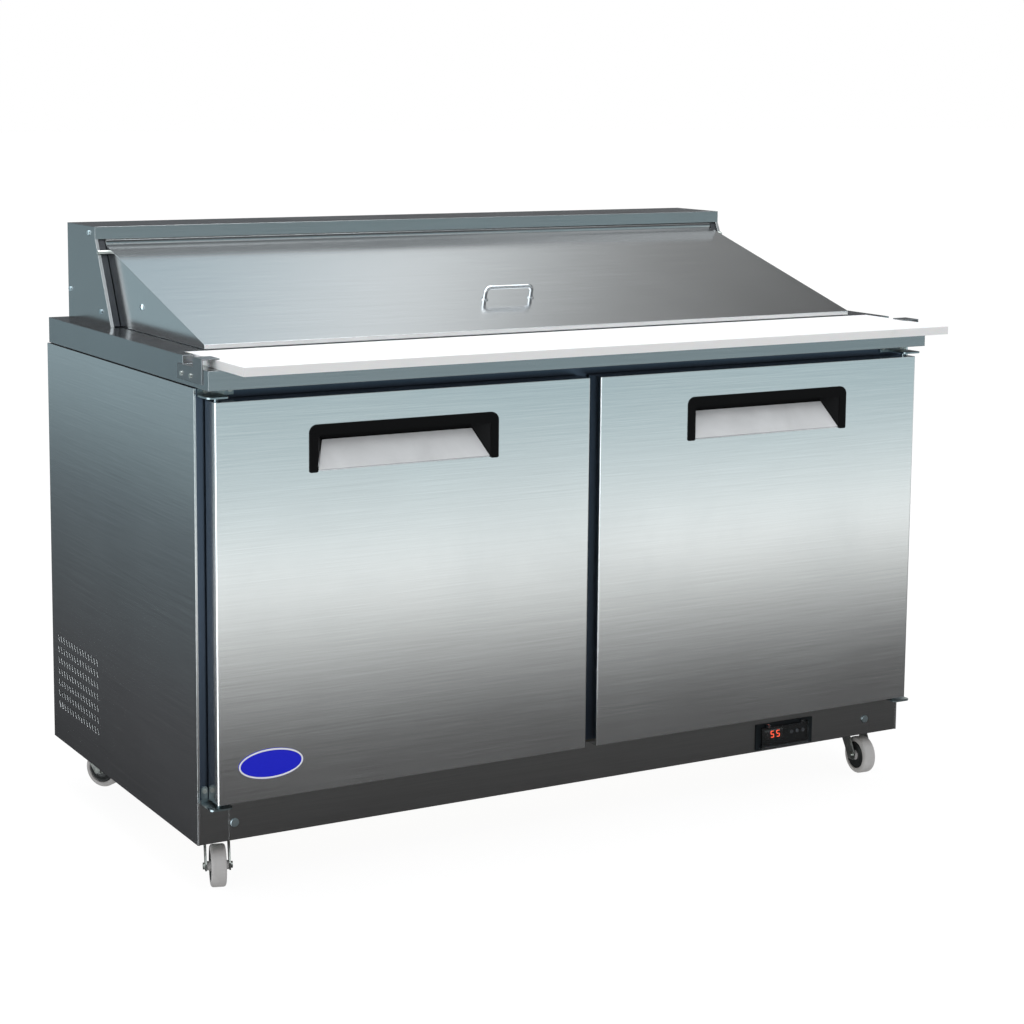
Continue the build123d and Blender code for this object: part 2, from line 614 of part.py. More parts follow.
def door_handle():
    """Black surround: top bar and two legs on the door's face, and the pocket's tub behind."""
    front = DOOR_DEPTH[0]
    flange = block(HANDLE_X, (front - 2, front), HANDLE_Z)
    flange = fillet(flange.edges().filter_by(Axis.Y).sort_by(Axis.Z)[-2:], HANDLE_CORNER)
    opening = block(POCKET_X, (front - 3, front + 1), (HANDLE_Z[0] - 10, POCKET_FRONT_Z[1]))
    opening = fillet(opening.edges().filter_by(Axis.Y).sort_by(Axis.Z)[-2:], POCKET_CORNER)
    flange = flange - opening
    flange = fillet(flange.edges().filter_by(Axis.Y).sort_by(Axis.Z)[:4], 3)
    tub = pocket(POCKET_WALL) - block(HANDLE_X, (front - 9, front), (HANDLE_Z[0] - 20, HANDLE_Z[1] + 20))
    shape = flange + (tub - pocket(0) - ramp())
    return shape.solids().sort_by(SortBy.VOLUME)[-1:]


def badge():
    """Plain oval plate near the left door's lower hinge corner, with a raised rim."""
    plate = extrude(Ellipse(BADGE[2] / 2, BADGE[3] / 2), 1.6)
    face = extrude(Ellipse(BADGE[2] / 2 - 3, BADGE[3] / 2 - 3), 1.6)
    return Pos(BADGE[0], FACE_Y + DOOR_DEPTH[0], BADGE[1]) * Rot(90, 0, 0) * (plate - Pos(0, 0, 1.2) * face)


# ---- inside -------------------------------------------------------------------------------------
SHELF_DEPTH = (34.0, 585.0)
SHELF_HEIGHT = 520.0
SHELF_X = (4.0, 706.0)


def wire_shelf():
    """Right shelf: heavy frame wires and thin cross wires."""
    z = SHELF_HEIGHT
    middle = (SHELF_DEPTH[0] + SHELF_DEPTH[1]) / 2
    wires = [rod_x(SHELF_X, depth, z, 4.0) for depth in (SHELF_DEPTH[0], middle, SHELF_DEPTH[1])]
    reach = (SHELF_DEPTH[0] - 3, SHELF_DEPTH[1] + 3)
    count = 17
    for index in range(count + 1):
        x = SHELF_X[0] + 5 + index * (SHELF_X[1] - SHELF_X[0] - 10) / count
        wires.append(rod_y(x, reach, z + 5.0, 2.5))
    return wires[0].fuse(*wires[1:])


def shelf_pilasters():
    """Four slotted strips, each with one clip under a shelf corner, and a centre rest pair."""
    strips = []
    for depth in (60.0, 545.0):
        strip = block((CAVITY_X - 2, CAVITY_X), (depth - 8, depth + 8), (430, 840))
        clip_z = (SHELF_HEIGHT - 8, SHELF_HEIGHT - 4)
        clip = block((CAVITY_X - 16, CAVITY_X - 2), (depth - 6, depth + 6), clip_z)
        strips.extend(both_sides(strip + clip))
    foot = block((-14, 14), (SHELF_DEPTH[0] - 10, SHELF_DEPTH[1] + 10), (SHELF_HEIGHT - 10, SHELF_HEIGHT - 4))
    for depth in (40.0, 300.0, 560.0):
        floor_z = LINER_FLOOR_Z if depth < STEP_DEPTH else STEP_Z
        foot = foot + block((-3, 3), (depth - 3, depth + 3), (floor_z, SHELF_HEIGHT - 5))
    return strips + [foot]


COVER_X = 330.0
COVER_DEPTH = (632.0, CAVITY_DEPTH)
COVER_Z = (560.0, 768.0)
FAN_Z = 664.0
FAN_R = 72.0


def evaporator_cover():
    """Folded cover on the rear wall, with two fan mouths' grille rings and a return slot below."""
    shell = block((-COVER_X, COVER_X), COVER_DEPTH, COVER_Z)
    wall = 1.5
    inside_z = (COVER_Z[0] + wall, COVER_Z[1] - wall)
    inside_depth = (COVER_DEPTH[0] + wall, COVER_DEPTH[1] + 1)
    shell = shell - block((-COVER_X + wall, COVER_X - wall), inside_depth, inside_z)
    shell = shell - rod_y(0, (COVER_DEPTH[0] - 5, COVER_DEPTH[0] + 5), FAN_Z, FAN_R + 4)
    slot = block((-8, 8), (COVER_DEPTH[0] - 5, COVER_DEPTH[0] + 5), (-60, 60))
    for side in (-1, 1):
        for index in range(6):
            shell = shell - Pos(side * (130 + index * 34), 0, FAN_Z) * slot
    return shell


def finned_coil(x, depth, z, along, pitch, fin=0.8):
    """Tube-and-fin block: fins across the tubes, tubes run along X or Y."""
    tubes = []
    fins = []
    rows = 3
    count = int((z[1] - z[0]) // 32)
    for level in range(count):
        height = z[0] + 16 + level * 32
        for row in range(rows):
            if along == "x":
                place = depth[0] + (row + 0.5) * (depth[1] - depth[0]) / rows
                tubes.append(rod_x((x[0] - 8, x[1] + 8), place, height, 4.5))
            else:
                place = x[0] + (row + 0.5) * (x[1] - x[0]) / rows
                tubes.append(rod_y(place, (depth[0] - 8, depth[1] + 8), height, 4.5))
    span = x if along == "x" else depth
    number = int((span[1] - span[0]) // pitch)
    for index in range(number + 1):
        at = span[0] + index * (span[1] - span[0] - fin) / number
        if along == "x":
            fins.append(block((at, at + fin), depth, z))
        else:
            fins.append(block(x, (at, at + fin), z))
    return tubes[0].fuse(*tubes[1:], *fins)


def evaporator_coil():
    return finned_coil((-300, 300), (690, 715), (575, 750), "x", 24.0)


def condenser_coil():
    return finned_coil((-668, -606), (500, 692), (DECK_Z, 332), "y", 12.0)


def fan_rotor(radius, blades=5, width=22.0):
    """Pitched blades on a hub, axis along Z, bore through the hub."""
    hub = Cylinder(18, 20)
    rotor = hub
    for index in range(blades):
        blade = Pos(radius / 2 + 4, 0, 0) * Rot(32, 0, 0) * Box(radius - 10, width * 1.6, 1.6)
        rotor = rotor + Rot(0, 0, index * 360 / blades) * blade
    rotor = rotor & Cylinder(radius, width)
    return rotor - Cylinder(SHAFT_R + RUN, 60)


SHAFT_R = 3.0
EVAPORATOR_FAN_DEPTH = 650.0
CONDENSER_FAN = (-572.0, 620.0, 232.0)     # X, depth, Z of the fan's centre
CONDENSER_FAN_R = 92.0


def evaporator_fan():
    return Pos(0, FACE_Y + EVAPORATOR_FAN_DEPTH, FAN_Z) * Rot(90, 0, 0) * fan_rotor(FAN_R - 2, width=18.0)


def condenser_fan():
    x, depth, z = CONDENSER_FAN
    return Pos(x, FACE_Y + depth, z) * Rot(0, 90, 0) * fan_rotor(CONDENSER_FAN_R)


def fan_motors():
    """Evaporator and condenser fan motors with their shafts and mounting arms."""
    small = rod_y(0, (663, 683), FAN_Z, 26) + rod_y(0, (640, 664), FAN_Z, SHAFT_R)
    small = small + block((-90, 90), (683, 686), (FAN_Z - 12, FAN_Z + 12))
    x, depth, z = CONDENSER_FAN
    large = rod_x((x + 16, x + 66), depth, z, 38) + rod_x((x - 14, x + 17), depth, z, SHAFT_R)
    foot = block((x + 34, x + 46), (depth - 30, depth + 30), (DECK_Z, z))
    return [small, large + foot]


def compressor():
    """Hermetic shell with a flanged seam, on a foot plate with four rubber-mount cups."""
    x, depth = -330.0, 610.0
    low, high = BASE_Z + 36, BASE_Z + 206
    shell = rod_z(x, depth, (low, high), 82)
    shell = fillet(shell.edges().filter_by(GeomType.CIRCLE), 34)
    seam = rod_z(x, depth, (low + 78, low + 86), 88)
    plate = block((x - 95, x + 95), (depth - 70, depth + 70), (low - 6, low + 2))
    parts = [shell, seam, plate]
    for side in (-1, 1):
        for end in (-1, 1):
            parts.append(rod_z(x + side * 82, depth + end * 58, (DECK_Z, low), 11))
    parts.append(block((x - 30, x + 30), (depth - 112, depth - 70), (low + 60, low + 120)))
    return join(parts)


def condensate_pan():
    outer = block((40, 420), (490, 700), (DECK_Z, DECK_Z + 40))
    return outer - block((43, 417), (493, 697), (DECK_Z + 3, DECK_Z + 50))


def refrigerant_tubes():
    """Discharge and liquid lines between compressor and condenser, with the filter drier."""
    line = FilletPolyline((-420, FACE_Y + 700, 200), (-480, FACE_Y + 700, 200), (-480, FACE_Y + 748, 200),
                          (-640, FACE_Y + 748, 200), radius=16)
    tube = sweep(Plane(origin=line @ 0, z_dir=line % 0) * Circle(3.2), line)
    drier = rod_x((-160, -60), 720, 180, 11)
    liquid = rod_x((-212, -160), 720, 180, 3.2)
    suction = rod_x((-60, 30), 720, 180, 3.2)
    return [tube, drier + liquid + suction]


INLET_X = (585.0, 633.0)
INLET_Z = (196.0, 224.0)


def power_inlet():
    """Recessed mains inlet in the rear panel, flush with it, with three contact blades."""
    body = block(INLET_X, (BODY_DEPTH - 26, BODY_DEPTH), INLET_Z)
    socket_z = (INLET_Z[0] + 5, INLET_Z[1] - 5)
    body = body - block((INLET_X[0] + 8, INLET_X[1] - 8), (BODY_DEPTH - 20, BODY_DEPTH + 1), socket_z)
    centre = sum(INLET_X) / 2
    for x, z in ((centre - 7, 207.0), (centre, 213.0), (centre + 7, 207.0)):
        body = body + block((x - 1, x + 1), (BODY_DEPTH - 20.5, BODY_DEPTH - 5), (z - 2.5, z + 2.5))
    return body


# ---- controller ---------------------------------------------------------------------------------
BUTTON_X = (22.0, 36.0, 50.0)
EAR_X = (39.0, 44.0, 48.0)      # pin tip, ear inner face, ear outer face


def controller_bezel():
    """Surround in the kick panel with a tub behind and two ears that hold the cover's pins."""
    x, z = CONTROL_X, CONTROL_Z
    ring = block((x - BEZEL[0] / 2, x + BEZEL[0] / 2), (-3, 0), (z - BEZEL[1] / 2, z + BEZEL[1] / 2))
    half_x, half_z = WINDOW[0] / 2, WINDOW[1] / 2
    tub = block((x - half_x - 2, x + half_x + 2), (-1, 18), (z - half_z - 2, z + half_z + 2))
    window = block((x - half_x, x + half_x), (-9, 30), (z - half_z, z + half_z))
    bezel = ring + tub - window
    depth, height = COVER_AXIS
    for side in (-1, 1):
        ear_x = sorted((x + side * EAR_X[1], x + side * EAR_X[2]))
        pin_x = sorted((x + side * EAR_X[0], x + side * EAR_X[1]))
        bezel = bezel + block(ear_x, (depth - 2.5, -2), (height - 2.5, height + 2.5))
        bezel = bezel + rod_x(pin_x, depth, height, 1.3)
    return bezel


def controller_cover():
    """Clear flip cover with two knuckles on the bezel's pins."""
    x = CONTROL_X
    depth, height = COVER_AXIS
    cover = block((x - 58, x + 58), (depth - 1, depth + 1), (97, height - 2.5))
    lip = block((x - 58, x + 58), (depth - 1, -3.4), (97, 99))
    cover = cover + lip
    for side in (-1, 1):
        knuckle_x = sorted((x + side * (EAR_X[0] - 1), x + side * (EAR_X[1] - GAP)))
        cover = cover + rod_x(knuckle_x, depth, height, 2.9)
        bore_x = sorted((x + side * (EAR_X[0] - 2), x + side * (EAR_X[1] + 1)))
        cover = cover - rod_x(bore_x, depth, height, 1.3 + RUN)
        notch_x = sorted((x + side * (EAR_X[1] - GAP), x + side * (EAR_X[2] + 0.6)))
        cover = cover - block(notch_x, (depth - 2, depth + 2), (height - 4.6, height))
    return cover


def controller_body():
    x, z = CONTROL_X, CONTROL_Z
    body = block((x - WINDOW[0] / 2, x + WINDOW[0] / 2), (4, 44), (z - WINDOW[1] / 2, z + WINDOW[1] / 2))
    display = block((x - 44, x + 6), (3, 5), (z - 9, z + 11))
    body = body - display
    for offset in BUTTON_X:
        body = body - rod_y(x + offset, (3, 13), z, BUTTON_R + GAP)
    return body


def button(offset):
    cap = rod_y(CONTROL_X + offset, (1.5, 9.0), CONTROL_Z, BUTTON_R)
    return fillet(cap.edges().filter_by(GeomType.CIRCLE).sort_by(Axis.Y)[:1], 0.6)


# ---- casters ------------------------------------------------------------------------------------
def caster_places():
    places = {}
    for end, depth in CASTER_DEPTHS.items():
        for side, sign in (("left", -1), ("right", 1)):
            places[f"{end}_{side}"] = (sign * CASTER_X, depth)
    return places


def caster_plate(x, depth):
    """Top plate with four bolts' heads and the raceway cup, under the base."""
    plate = block((x - 32, x + 32), (depth - 32, depth + 32), (BASE_Z - 4, BASE_Z))
    plate = fillet(plate.edges().filter_by(Axis.Z), 6)
    cup = rod_z(x, depth, (BASE_Z - 9, BASE_Z - 4), 24)
    stem = rod_z(x, depth, (BASE_Z - 15.5, BASE_Z - 8), 5)
    parts = [plate, cup, stem]
    for dx in (-25, 25):
        for dy in (-25, 25):
            parts.append(rod_z(x + dx, depth + dy, (BASE_Z - 7.5, BASE_Z - 4), 4.5))
    return join(parts)


def caster_fork():
    """Fork about its swivel axis, wheel trailing towards -Y, with the axle bolt and its nuts."""
    crown_z = (BASE_Z - 13.5, BASE_Z - 9 - GAP)
    crown = Pos(0, 0, sum(crown_z) / 2) * Cylinder(21, crown_z[1] - crown_z[0])
    crown = crown - Pos(0, 0, sum(crown_z) / 2) * Cylinder(5 + RUN, 20)
    inner = WHEEL_W / 2 + FORK_GAP
    yoke = Pos(0, 0, crown_z[1] - FORK_T / 2) * Box(2 * (inner + FORK_T), 30, FORK_T)
    fork = crown + yoke - Pos(0, 0, BASE_Z) * Cylinder(5 + RUN, 40)
    for side in (-1, 1):
        outline = make_face(Polyline((-TRAIL - 9, WHEEL_R - 7), (-TRAIL + 8, WHEEL_R - 9),
                                     (-TRAIL + 14, WHEEL_R), (15, crown_z[1] - FORK_T), (15, crown_z[1]),
                                     (-15, crown_z[1]), (-TRAIL - 10, WHEEL_R + 6), close=True))
        start = inner if side > 0 else -inner - FORK_T
        leg = extrude(Plane.YZ.offset(start) * outline, FORK_T, dir=(1, 0, 0))
        nut = Pos(side * (inner + FORK_T + 1.8), -TRAIL, WHEEL_R) * Rot(0, 90, 0) * Cylinder(6, 3.6)
        fork = fork + leg + nut
    axle = Pos(0, -TRAIL, WHEEL_R) * Rot(0, 90, 0) * Cylinder(AXLE_R, 2 * (inner + FORK_T) + 4)
    return fork + axle


def caster_wheel():
    """Hub with a rounded tread, at its place in the fork."""
    wheel = Cylinder(WHEEL_R, WHEEL_W)
    wheel = fillet(wheel.edges().filter_by(GeomType.CIRCLE), 5)
    for side in (-1, 1):
        wheel = wheel - Pos(0, 0, side * WHEEL_W / 2) * (Cylinder(WHEEL_R - 9, 5) - Cylinder(10, 5))
    wheel = wheel + Cylinder(8, WHEEL_W + 2 * FORK_GAP - 1)
    wheel = wheel - Cylinder(AXLE_R + RUN, WHEEL_W + 2 * FORK_GAP + 2)
    return Pos(0, -TRAIL, WHEEL_R) * Rot(0, 90, 0) * wheel


def place_caster(name, shape):
    x, depth = caster_places()[name]
    return Pos(x, FACE_Y + depth, 0) * Rot(0, 0, SWIVEL_AT_REST[name]) * shape


# ---- the whole table ----------------------------------------------------------------------------
def build():
    left_panel = side_panel()
    keep("base_frame", base_frame())
    keep("side_panel_left", left_panel)
    keep("side_panel_right", mirrored(left_panel))
    keep("rear_panel", rear_panel())
    keep("face_frame", face_frame())
    keep("inner_liner", inner_liner())
    keep("insulation", insulation())
    keep("kick_panel", kick_panel())
    keep("panel_bolts", *panel_bolts())
    keep("worktop", worktop())
    for index, row in enumerate(PAN_ROWS):
        keep(f"pans_{row}_row", *pan_row(index))
    keep("divider_bars", *divider_bars())
    keep("board_brackets", *both_sides(board_bracket()))
    keep("bracket_screws", *small_screws())
    brackets = both_sides(hinge_bracket(True)) + both_sides(hinge_bracket(False))
    keep("door_hinge_brackets", *brackets)
    board_z = (SHELF_Z + GAP, SHELF_Z + GAP + BOARD_T)
    keep("cutting_board", block((-BOARD_X, BOARD_X), BOARD_DEPTH, board_z))
    keep("hood_box", hood_box())
    keep("lid_hinge_pins", *lid_hinge_pins())
    keep("lid_skin", *lid_skin())
    keep("lid_liner", *lid_liner())
    keep("lid_handle", lid_handle())
    for name, make in (("skin", door_skin), ("liner", door_core), ("gasket", door_gasket)):
        shape = make()
        keep(f"door_right_{name}", shape)
        keep(f"door_left_{name}", mirrored(shape))
    handle = door_handle()[0]
    keep("door_right_handle", handle)
    keep("door_left_handle", mirrored(handle))
    keep("door_badge", badge())
    shelf = wire_shelf()
    keep("shelf_right", shelf)
    keep("shelf_left", mirrored(shelf))
    keep("shelf_supports", *shelf_pilasters())
    keep("evaporator_cover", evaporator_cover())
    keep("evaporator_coil", evaporator_coil())
    keep("evaporator_fan", evaporator_fan())
    keep("fan_motors", *fan_motors())
    keep("compressor", compressor())
    keep("condenser_coil", condenser_coil())
    keep("condenser_fan", condenser_fan())
    keep("condensate_pan", condensate_pan())
    keep("refrigerant_tubes", *refrigerant_tubes())
    keep("power_inlet", power_inlet())
    keep("controller_bezel", controller_bezel())
    keep("controller_cover", controller_cover())
    keep("controller_body", controller_body())
    for name, offset in zip(("set", "down", "up"), BUTTON_X):
        keep(f"button_{name}", button(offset))
    keep("caster_plates", *[caster_plate(*place) for place in caster_places().values()])
    fork, wheel = caster_fork(), caster_wheel()
    for name in caster_places():
        keep(f"caster_{name}_fork", place_caster(name, fork))
        keep(f"caster_{name}_wheel", place_caster(name, wheel))


build()
os.makedirs("parts", exist_ok=True)
for node, shape in PARTS.items():
    export_step(shape, f"parts/{node}.step")
print(len(PARTS), "nodes")
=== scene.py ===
import json
import math

import bmesh
import bpy
from mathutils import Matrix, Vector


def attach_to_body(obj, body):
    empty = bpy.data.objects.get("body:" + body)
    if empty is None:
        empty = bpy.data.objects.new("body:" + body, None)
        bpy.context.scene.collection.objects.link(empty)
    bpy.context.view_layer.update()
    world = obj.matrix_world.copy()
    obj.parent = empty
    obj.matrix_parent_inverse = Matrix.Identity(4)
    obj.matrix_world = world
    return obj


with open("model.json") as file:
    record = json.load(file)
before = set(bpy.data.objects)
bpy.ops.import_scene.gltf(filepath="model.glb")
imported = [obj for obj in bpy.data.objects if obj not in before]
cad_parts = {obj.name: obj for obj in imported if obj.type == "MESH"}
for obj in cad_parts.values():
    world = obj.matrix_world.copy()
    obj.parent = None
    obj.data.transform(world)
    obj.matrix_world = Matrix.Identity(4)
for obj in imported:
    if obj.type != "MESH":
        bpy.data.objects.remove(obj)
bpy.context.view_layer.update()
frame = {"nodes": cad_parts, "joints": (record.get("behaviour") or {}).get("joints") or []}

NODES = frame["nodes"]
JOINTS = {joint["name"]: joint for joint in frame["joints"]}
MM = 0.001


# ---- node helpers ---------------------------------------------------------------------------------
class Shader:
    """A material under construction, with short calls for the nodes it needs."""

    def __init__(self, name):
        self.material = bpy.data.materials.new(name)
        self.material.use_nodes = True
        self.tree = self.material.node_tree
        self.bsdf = self.tree.nodes["Principled BSDF"]
        self.coord = self.node("ShaderNodeTexCoord").outputs["Object"]

    def node(self, kind, **settings):
        item = self.tree.nodes.new(kind)
        for key, value in settings.items():
            setattr(item, key, value)
        return item

    def feed(self, socket, value):
        if isinstance(value, bpy.types.NodeSocket):
            self.tree.links.new(value, socket)
        else:
            socket.default_value = value

    def set(self, **values):
        names = {"color": "Base Color", "metal": "Metallic", "rough": "Roughness", "ior": "IOR",
                 "coat": "Coat Weight", "coat_rough": "Coat Roughness", "normal": "Normal",
                 "transmission": "Transmission Weight", "specular": "Specular IOR Level",
                 "emission": "Emission Color", "glow": "Emission Strength",
                 "sub": "Subsurface Weight", "sub_scale": "Subsurface Scale"}
        for key, value in values.items():
            self.feed(self.bsdf.inputs[names[key]], value)
        return self

    def stretch(self, scale, turn=(0.0, 0.0, 0.0)):
        mapping = self.node("ShaderNodeMapping")
        mapping.inputs["Scale"].default_value = scale
        mapping.inputs["Rotation"].default_value = turn
        self.feed(mapping.inputs["Vector"], self.coord)
        return mapping.outputs["Vector"]

    def noise(self, scale, vector=None, detail=3.0, rough=0.55, warp=0.0):
        item = self.node("ShaderNodeTexNoise")
        self.feed(item.inputs["Vector"], vector or self.coord)
        self.feed(item.inputs["Scale"], scale)
        self.feed(item.inputs["Detail"], detail)
        self.feed(item.inputs["Roughness"], rough)
        self.feed(item.inputs["Distortion"], warp)
        return item.outputs["Fac"]

    def voronoi(self, scale, vector=None, feature="F1"):
        item = self.node("ShaderNodeTexVoronoi", feature=feature)
        self.feed(item.inputs["Vector"], vector or self.coord)
        self.feed(item.inputs["Scale"], scale)
        return item

    def math(self, operation, first, second=0.0):
        item = self.node("ShaderNodeMath", operation=operation)
        self.feed(item.inputs[0], first)
        self.feed(item.inputs[1], second)
        return item.outputs[0]

    def remap(self, value, low, high, to_low, to_high):
        item = self.node("ShaderNodeMapRange")
        for index, entry in enumerate((value, low, high, to_low, to_high)):
            self.feed(item.inputs[index], entry)
        return item.outputs[0]

    def ramp(self, value, stops):
        item = self.node("ShaderNodeValToRGB")
        points = item.color_ramp.elements
        while len(points) < len(stops):
            points.new(1.0)
        for point, (place, color) in zip(points, stops):
            point.position = place
            point.color = (*color, 1.0)
        self.feed(item.inputs[0], value)
        return item.outputs["Color"]

    def mix(self, factor, first, second):
        item = self.node("ShaderNodeMix", data_type="RGBA")
        self.feed(item.inputs[0], factor)
        self.feed(item.inputs[6], rgba(first))
        self.feed(item.inputs[7], rgba(second))
        return item.outputs[2]

    def bump(self, height, strength, distance, normal=None):
        item = self.node("ShaderNodeBump")
        self.feed(item.inputs["Height"], height)
        self.feed(item.inputs["Strength"], strength)
        self.feed(item.inputs["Distance"], distance)
        if normal is not None:
            self.feed(item.inputs["Normal"], normal)
        return item.outputs["Normal"]

    def axis(self, name):
        item = self.node("ShaderNodeSeparateXYZ")
        self.feed(item.inputs[0], self.coord)
        return item.outputs[name]


def rgba(value):
    if isinstance(value, tuple) and len(value) == 3:
        return (*value, 1.0)
    return value


# ---- materials ------------------------------------------------------------------------------------
GRAIN_ALONG = 5.0           # 1/m, slow variation along a brush stroke
GRAIN_ACROSS = 700.0        # 1/m, fine lines across it


def brushed(name, color, rough, grain="X", wear=1.0, fold=0.0015):
    """Brushed stainless: fine strokes along one axis, faint smudges, and folds rounded to a radius."""
    s = Shader(name)
    scale = [GRAIN_ACROSS] * 3
    scale["XYZ".index(grain)] = GRAIN_ALONG
    strokes = s.noise(1.0, s.stretch(tuple(scale)), detail=4.0, rough=0.7)
    wide = [value * 0.12 for value in scale]
    wide["XYZ".index(grain)] = 1.2
    bands = s.noise(1.0, s.stretch(tuple(wide)), detail=2.0)
    smudge = s.noise(3.1, detail=5.0, rough=0.6, warp=0.7)
    long = [value * 0.5 for value in scale]
    long["XYZ".index(grain)] = 9.0
    scratch = s.noise(1.0, s.stretch(tuple(long), (0.02, 0.015, 0.03)), detail=1.0)
    scratch = s.remap(scratch, 0.72, 0.80, 0.0, 1.0)
    light = tuple(min(1.0, channel * 1.06) for channel in color)
    dark = tuple(channel * 0.90 for channel in color)
    tone = s.mix(s.remap(strokes, 0.30, 0.70, 0.0, 1.0), dark, light)
    tone = s.mix(s.remap(bands, 0.35, 0.65, 0.0, 0.10), tone, tuple(c * 0.90 for c in color))
    grime = s.remap(smudge, 0.55, 0.78, 0.0, 0.04 * wear)
    tone = s.mix(grime, tone, tuple(channel * 0.82 for channel in color))
    roughness = s.math("ADD", s.remap(strokes, 0.25, 0.75, -0.03, 0.03), rough)
    roughness = s.math("ADD", roughness, s.remap(smudge, 0.40, 0.75, -0.01, 0.03 * wear))
    height = s.math("ADD", strokes, s.math("MULTIPLY", scratch, -0.5 * wear))
    rounded = s.node("ShaderNodeBevel", samples=4)
    rounded.inputs["Radius"].default_value = fold
    normal = s.bump(height, 0.05, 0.0003, rounded.outputs["Normal"])
    s.set(color=tone, metal=1.0, rough=roughness, normal=normal)
    return s.material


def zinc_plated(name, color=(0.58, 0.60, 0.57), rough=0.33):
    """Bright zinc on pressed steel: cloudy tone, slight olive tint, small tool marks."""
    s = Shader(name)
    cloud = s.noise(38.0, detail=5.0, warp=0.6)
    fine = s.noise(420.0, detail=3.0)
    tone = s.ramp(cloud, [(0.25, tuple(c * 0.78 for c in color)), (0.55, color), (0.8, (0.66, 0.67, 0.58))])
    roughness = s.math("ADD", s.remap(cloud, 0.3, 0.7, -0.06, 0.10), rough)
    s.set(color=tone, metal=1.0, rough=roughness, normal=s.bump(fine, 0.12, 0.0003))
    return s.material


def galvanised(name):
    """Hot-dip zinc sheet with a spangle of large angular crystals."""
    s = Shader(name)
    cells = s.voronoi(70.0, s.stretch((1.0, 1.0, 1.0)))
    shade = s.math("FRACT", s.math("MULTIPLY", cells.outputs["Distance"], 7.3))
    stops = [(0.1, (0.42, 0.45, 0.47)), (0.5, (0.55, 0.58, 0.60)), (0.9, (0.66, 0.68, 0.70))]
    tone = s.ramp(cells.outputs["Color"], stops)
    fine = s.noise(300.0, detail=3.0)
    roughness = s.math("ADD", s.remap(shade, 0.0, 1.0, -0.04, 0.06), 0.40)
    s.set(color=tone, metal=1.0, rough=roughness, normal=s.bump(fine, 0.10, 0.0003))
    return s.material


def moulded(name, color, rough, grain=900.0, depth=0.0003, strength=0.25, specular=0.4):
    """Moulded plastic with a fine spark-eroded grain and slight flow variation."""
    s = Shader(name)
    grit = s.noise(grain, detail=3.0, rough=0.7)
    flow = s.noise(9.0, detail=4.0, warp=0.8)
    deep = tuple(c * 0.92 for c in color)
    pale = tuple(min(1.0, c * 1.08) for c in color)
    tone = s.mix(s.remap(flow, 0.35, 0.75, 0.0, 1.0), deep, pale)
    roughness = s.math("ADD", s.remap(grit, 0.3, 0.7, -0.05, 0.06), rough)
    s.set(color=tone, rough=roughness, specular=specular, normal=s.bump(grit, strength, depth))
    return s.material


def board_plastic():
    """White polyethylene: fine matt grain, faint crossing knife marks, warmer where it is worn."""
    s = Shader("board_polyethylene")
    grit = s.noise(1400.0, detail=3.0)
    along = s.noise(1.0, s.stretch((26.0, 900.0, 26.0), (0.0, 0.0, 0.21)), detail=1.0)
    across = s.noise(1.0, s.stretch((900.0, 30.0, 30.0), (0.0, 0.0, -0.35)), detail=1.0)
    cuts = s.math("MAXIMUM", s.remap(along, 0.70, 0.78, 0.0, 1.0), s.remap(across, 0.70, 0.78, 0.0, 1.0))
    patch = s.noise(4.0, detail=4.0)
    tone = s.mix(s.remap(patch, 0.4, 0.8, 0.0, 0.5), (0.90, 0.905, 0.90), (0.87, 0.875, 0.86))
    tone = s.mix(s.math("MULTIPLY", cuts, 0.18), tone, (0.72, 0.72, 0.70))
    height = s.math("SUBTRACT", s.math("MULTIPLY", grit, 0.25), cuts)
    s.set(color=tone, rough=s.remap(patch, 0.3, 0.8, 0.42, 0.55), specular=0.35, sub=0.06, sub_scale=0.004,
          normal=s.bump(height, 0.18, 0.0002))
    return s.material


def rubber(name, color=(0.16, 0.17, 0.18), rough=0.62):
    s = Shader(name)
    grit = s.noise(700.0, detail=4.0, rough=0.7)
    dust = s.noise(24.0, detail=4.0, warp=0.4)
    tone = s.mix(s.remap(dust, 0.45, 0.8, 0.0, 0.5), color, tuple(c * 1.5 + 0.02 for c in color))
    s.set(color=tone, rough=s.math("ADD", s.remap(dust, 0.3, 0.8, -0.05, 0.1), rough), specular=0.3,
          normal=s.bump(grit, 0.3, 0.0003))
    return s.material


def foam():
    s = Shader("cut_foam")
    cells = s.voronoi(420.0)
    patch = s.noise(18.0, detail=4.0)
    tone = s.mix(s.remap(patch, 0.3, 0.8, 0.0, 1.0), (0.80, 0.70, 0.45), (0.88, 0.80, 0.58))
    s.set(color=tone, rough=0.9, specular=0.2, normal=s.bump(cells.outputs["Distance"], 0.6, 0.001))
    return s.material


def stucco():
    """Embossed aluminium of the cabinet's inside."""
    s = Shader("stucco_aluminium")
    cells = s.voronoi(260.0, feature="SMOOTH_F1")
    patch = s.noise(12.0, detail=3.0)
    tone = s.mix(patch, (0.72, 0.73, 0.74), (0.82, 0.83, 0.84))
    s.set(color=tone, metal=1.0, rough=s.remap(patch, 0.3, 0.7, 0.32, 0.42),
          normal=s.bump(cells.outputs["Distance"], 0.35, 0.0012))
    return s.material


def clear_plastic():
    s = Shader("clear_polycarbonate")
    haze = s.noise(30.0, detail=4.0)
    s.set(color=(0.93, 0.95, 0.96, 1.0), transmission=1.0, ior=1.49,
          rough=s.remap(haze, 0.4, 0.8, 0.03, 0.12))
    return s.material


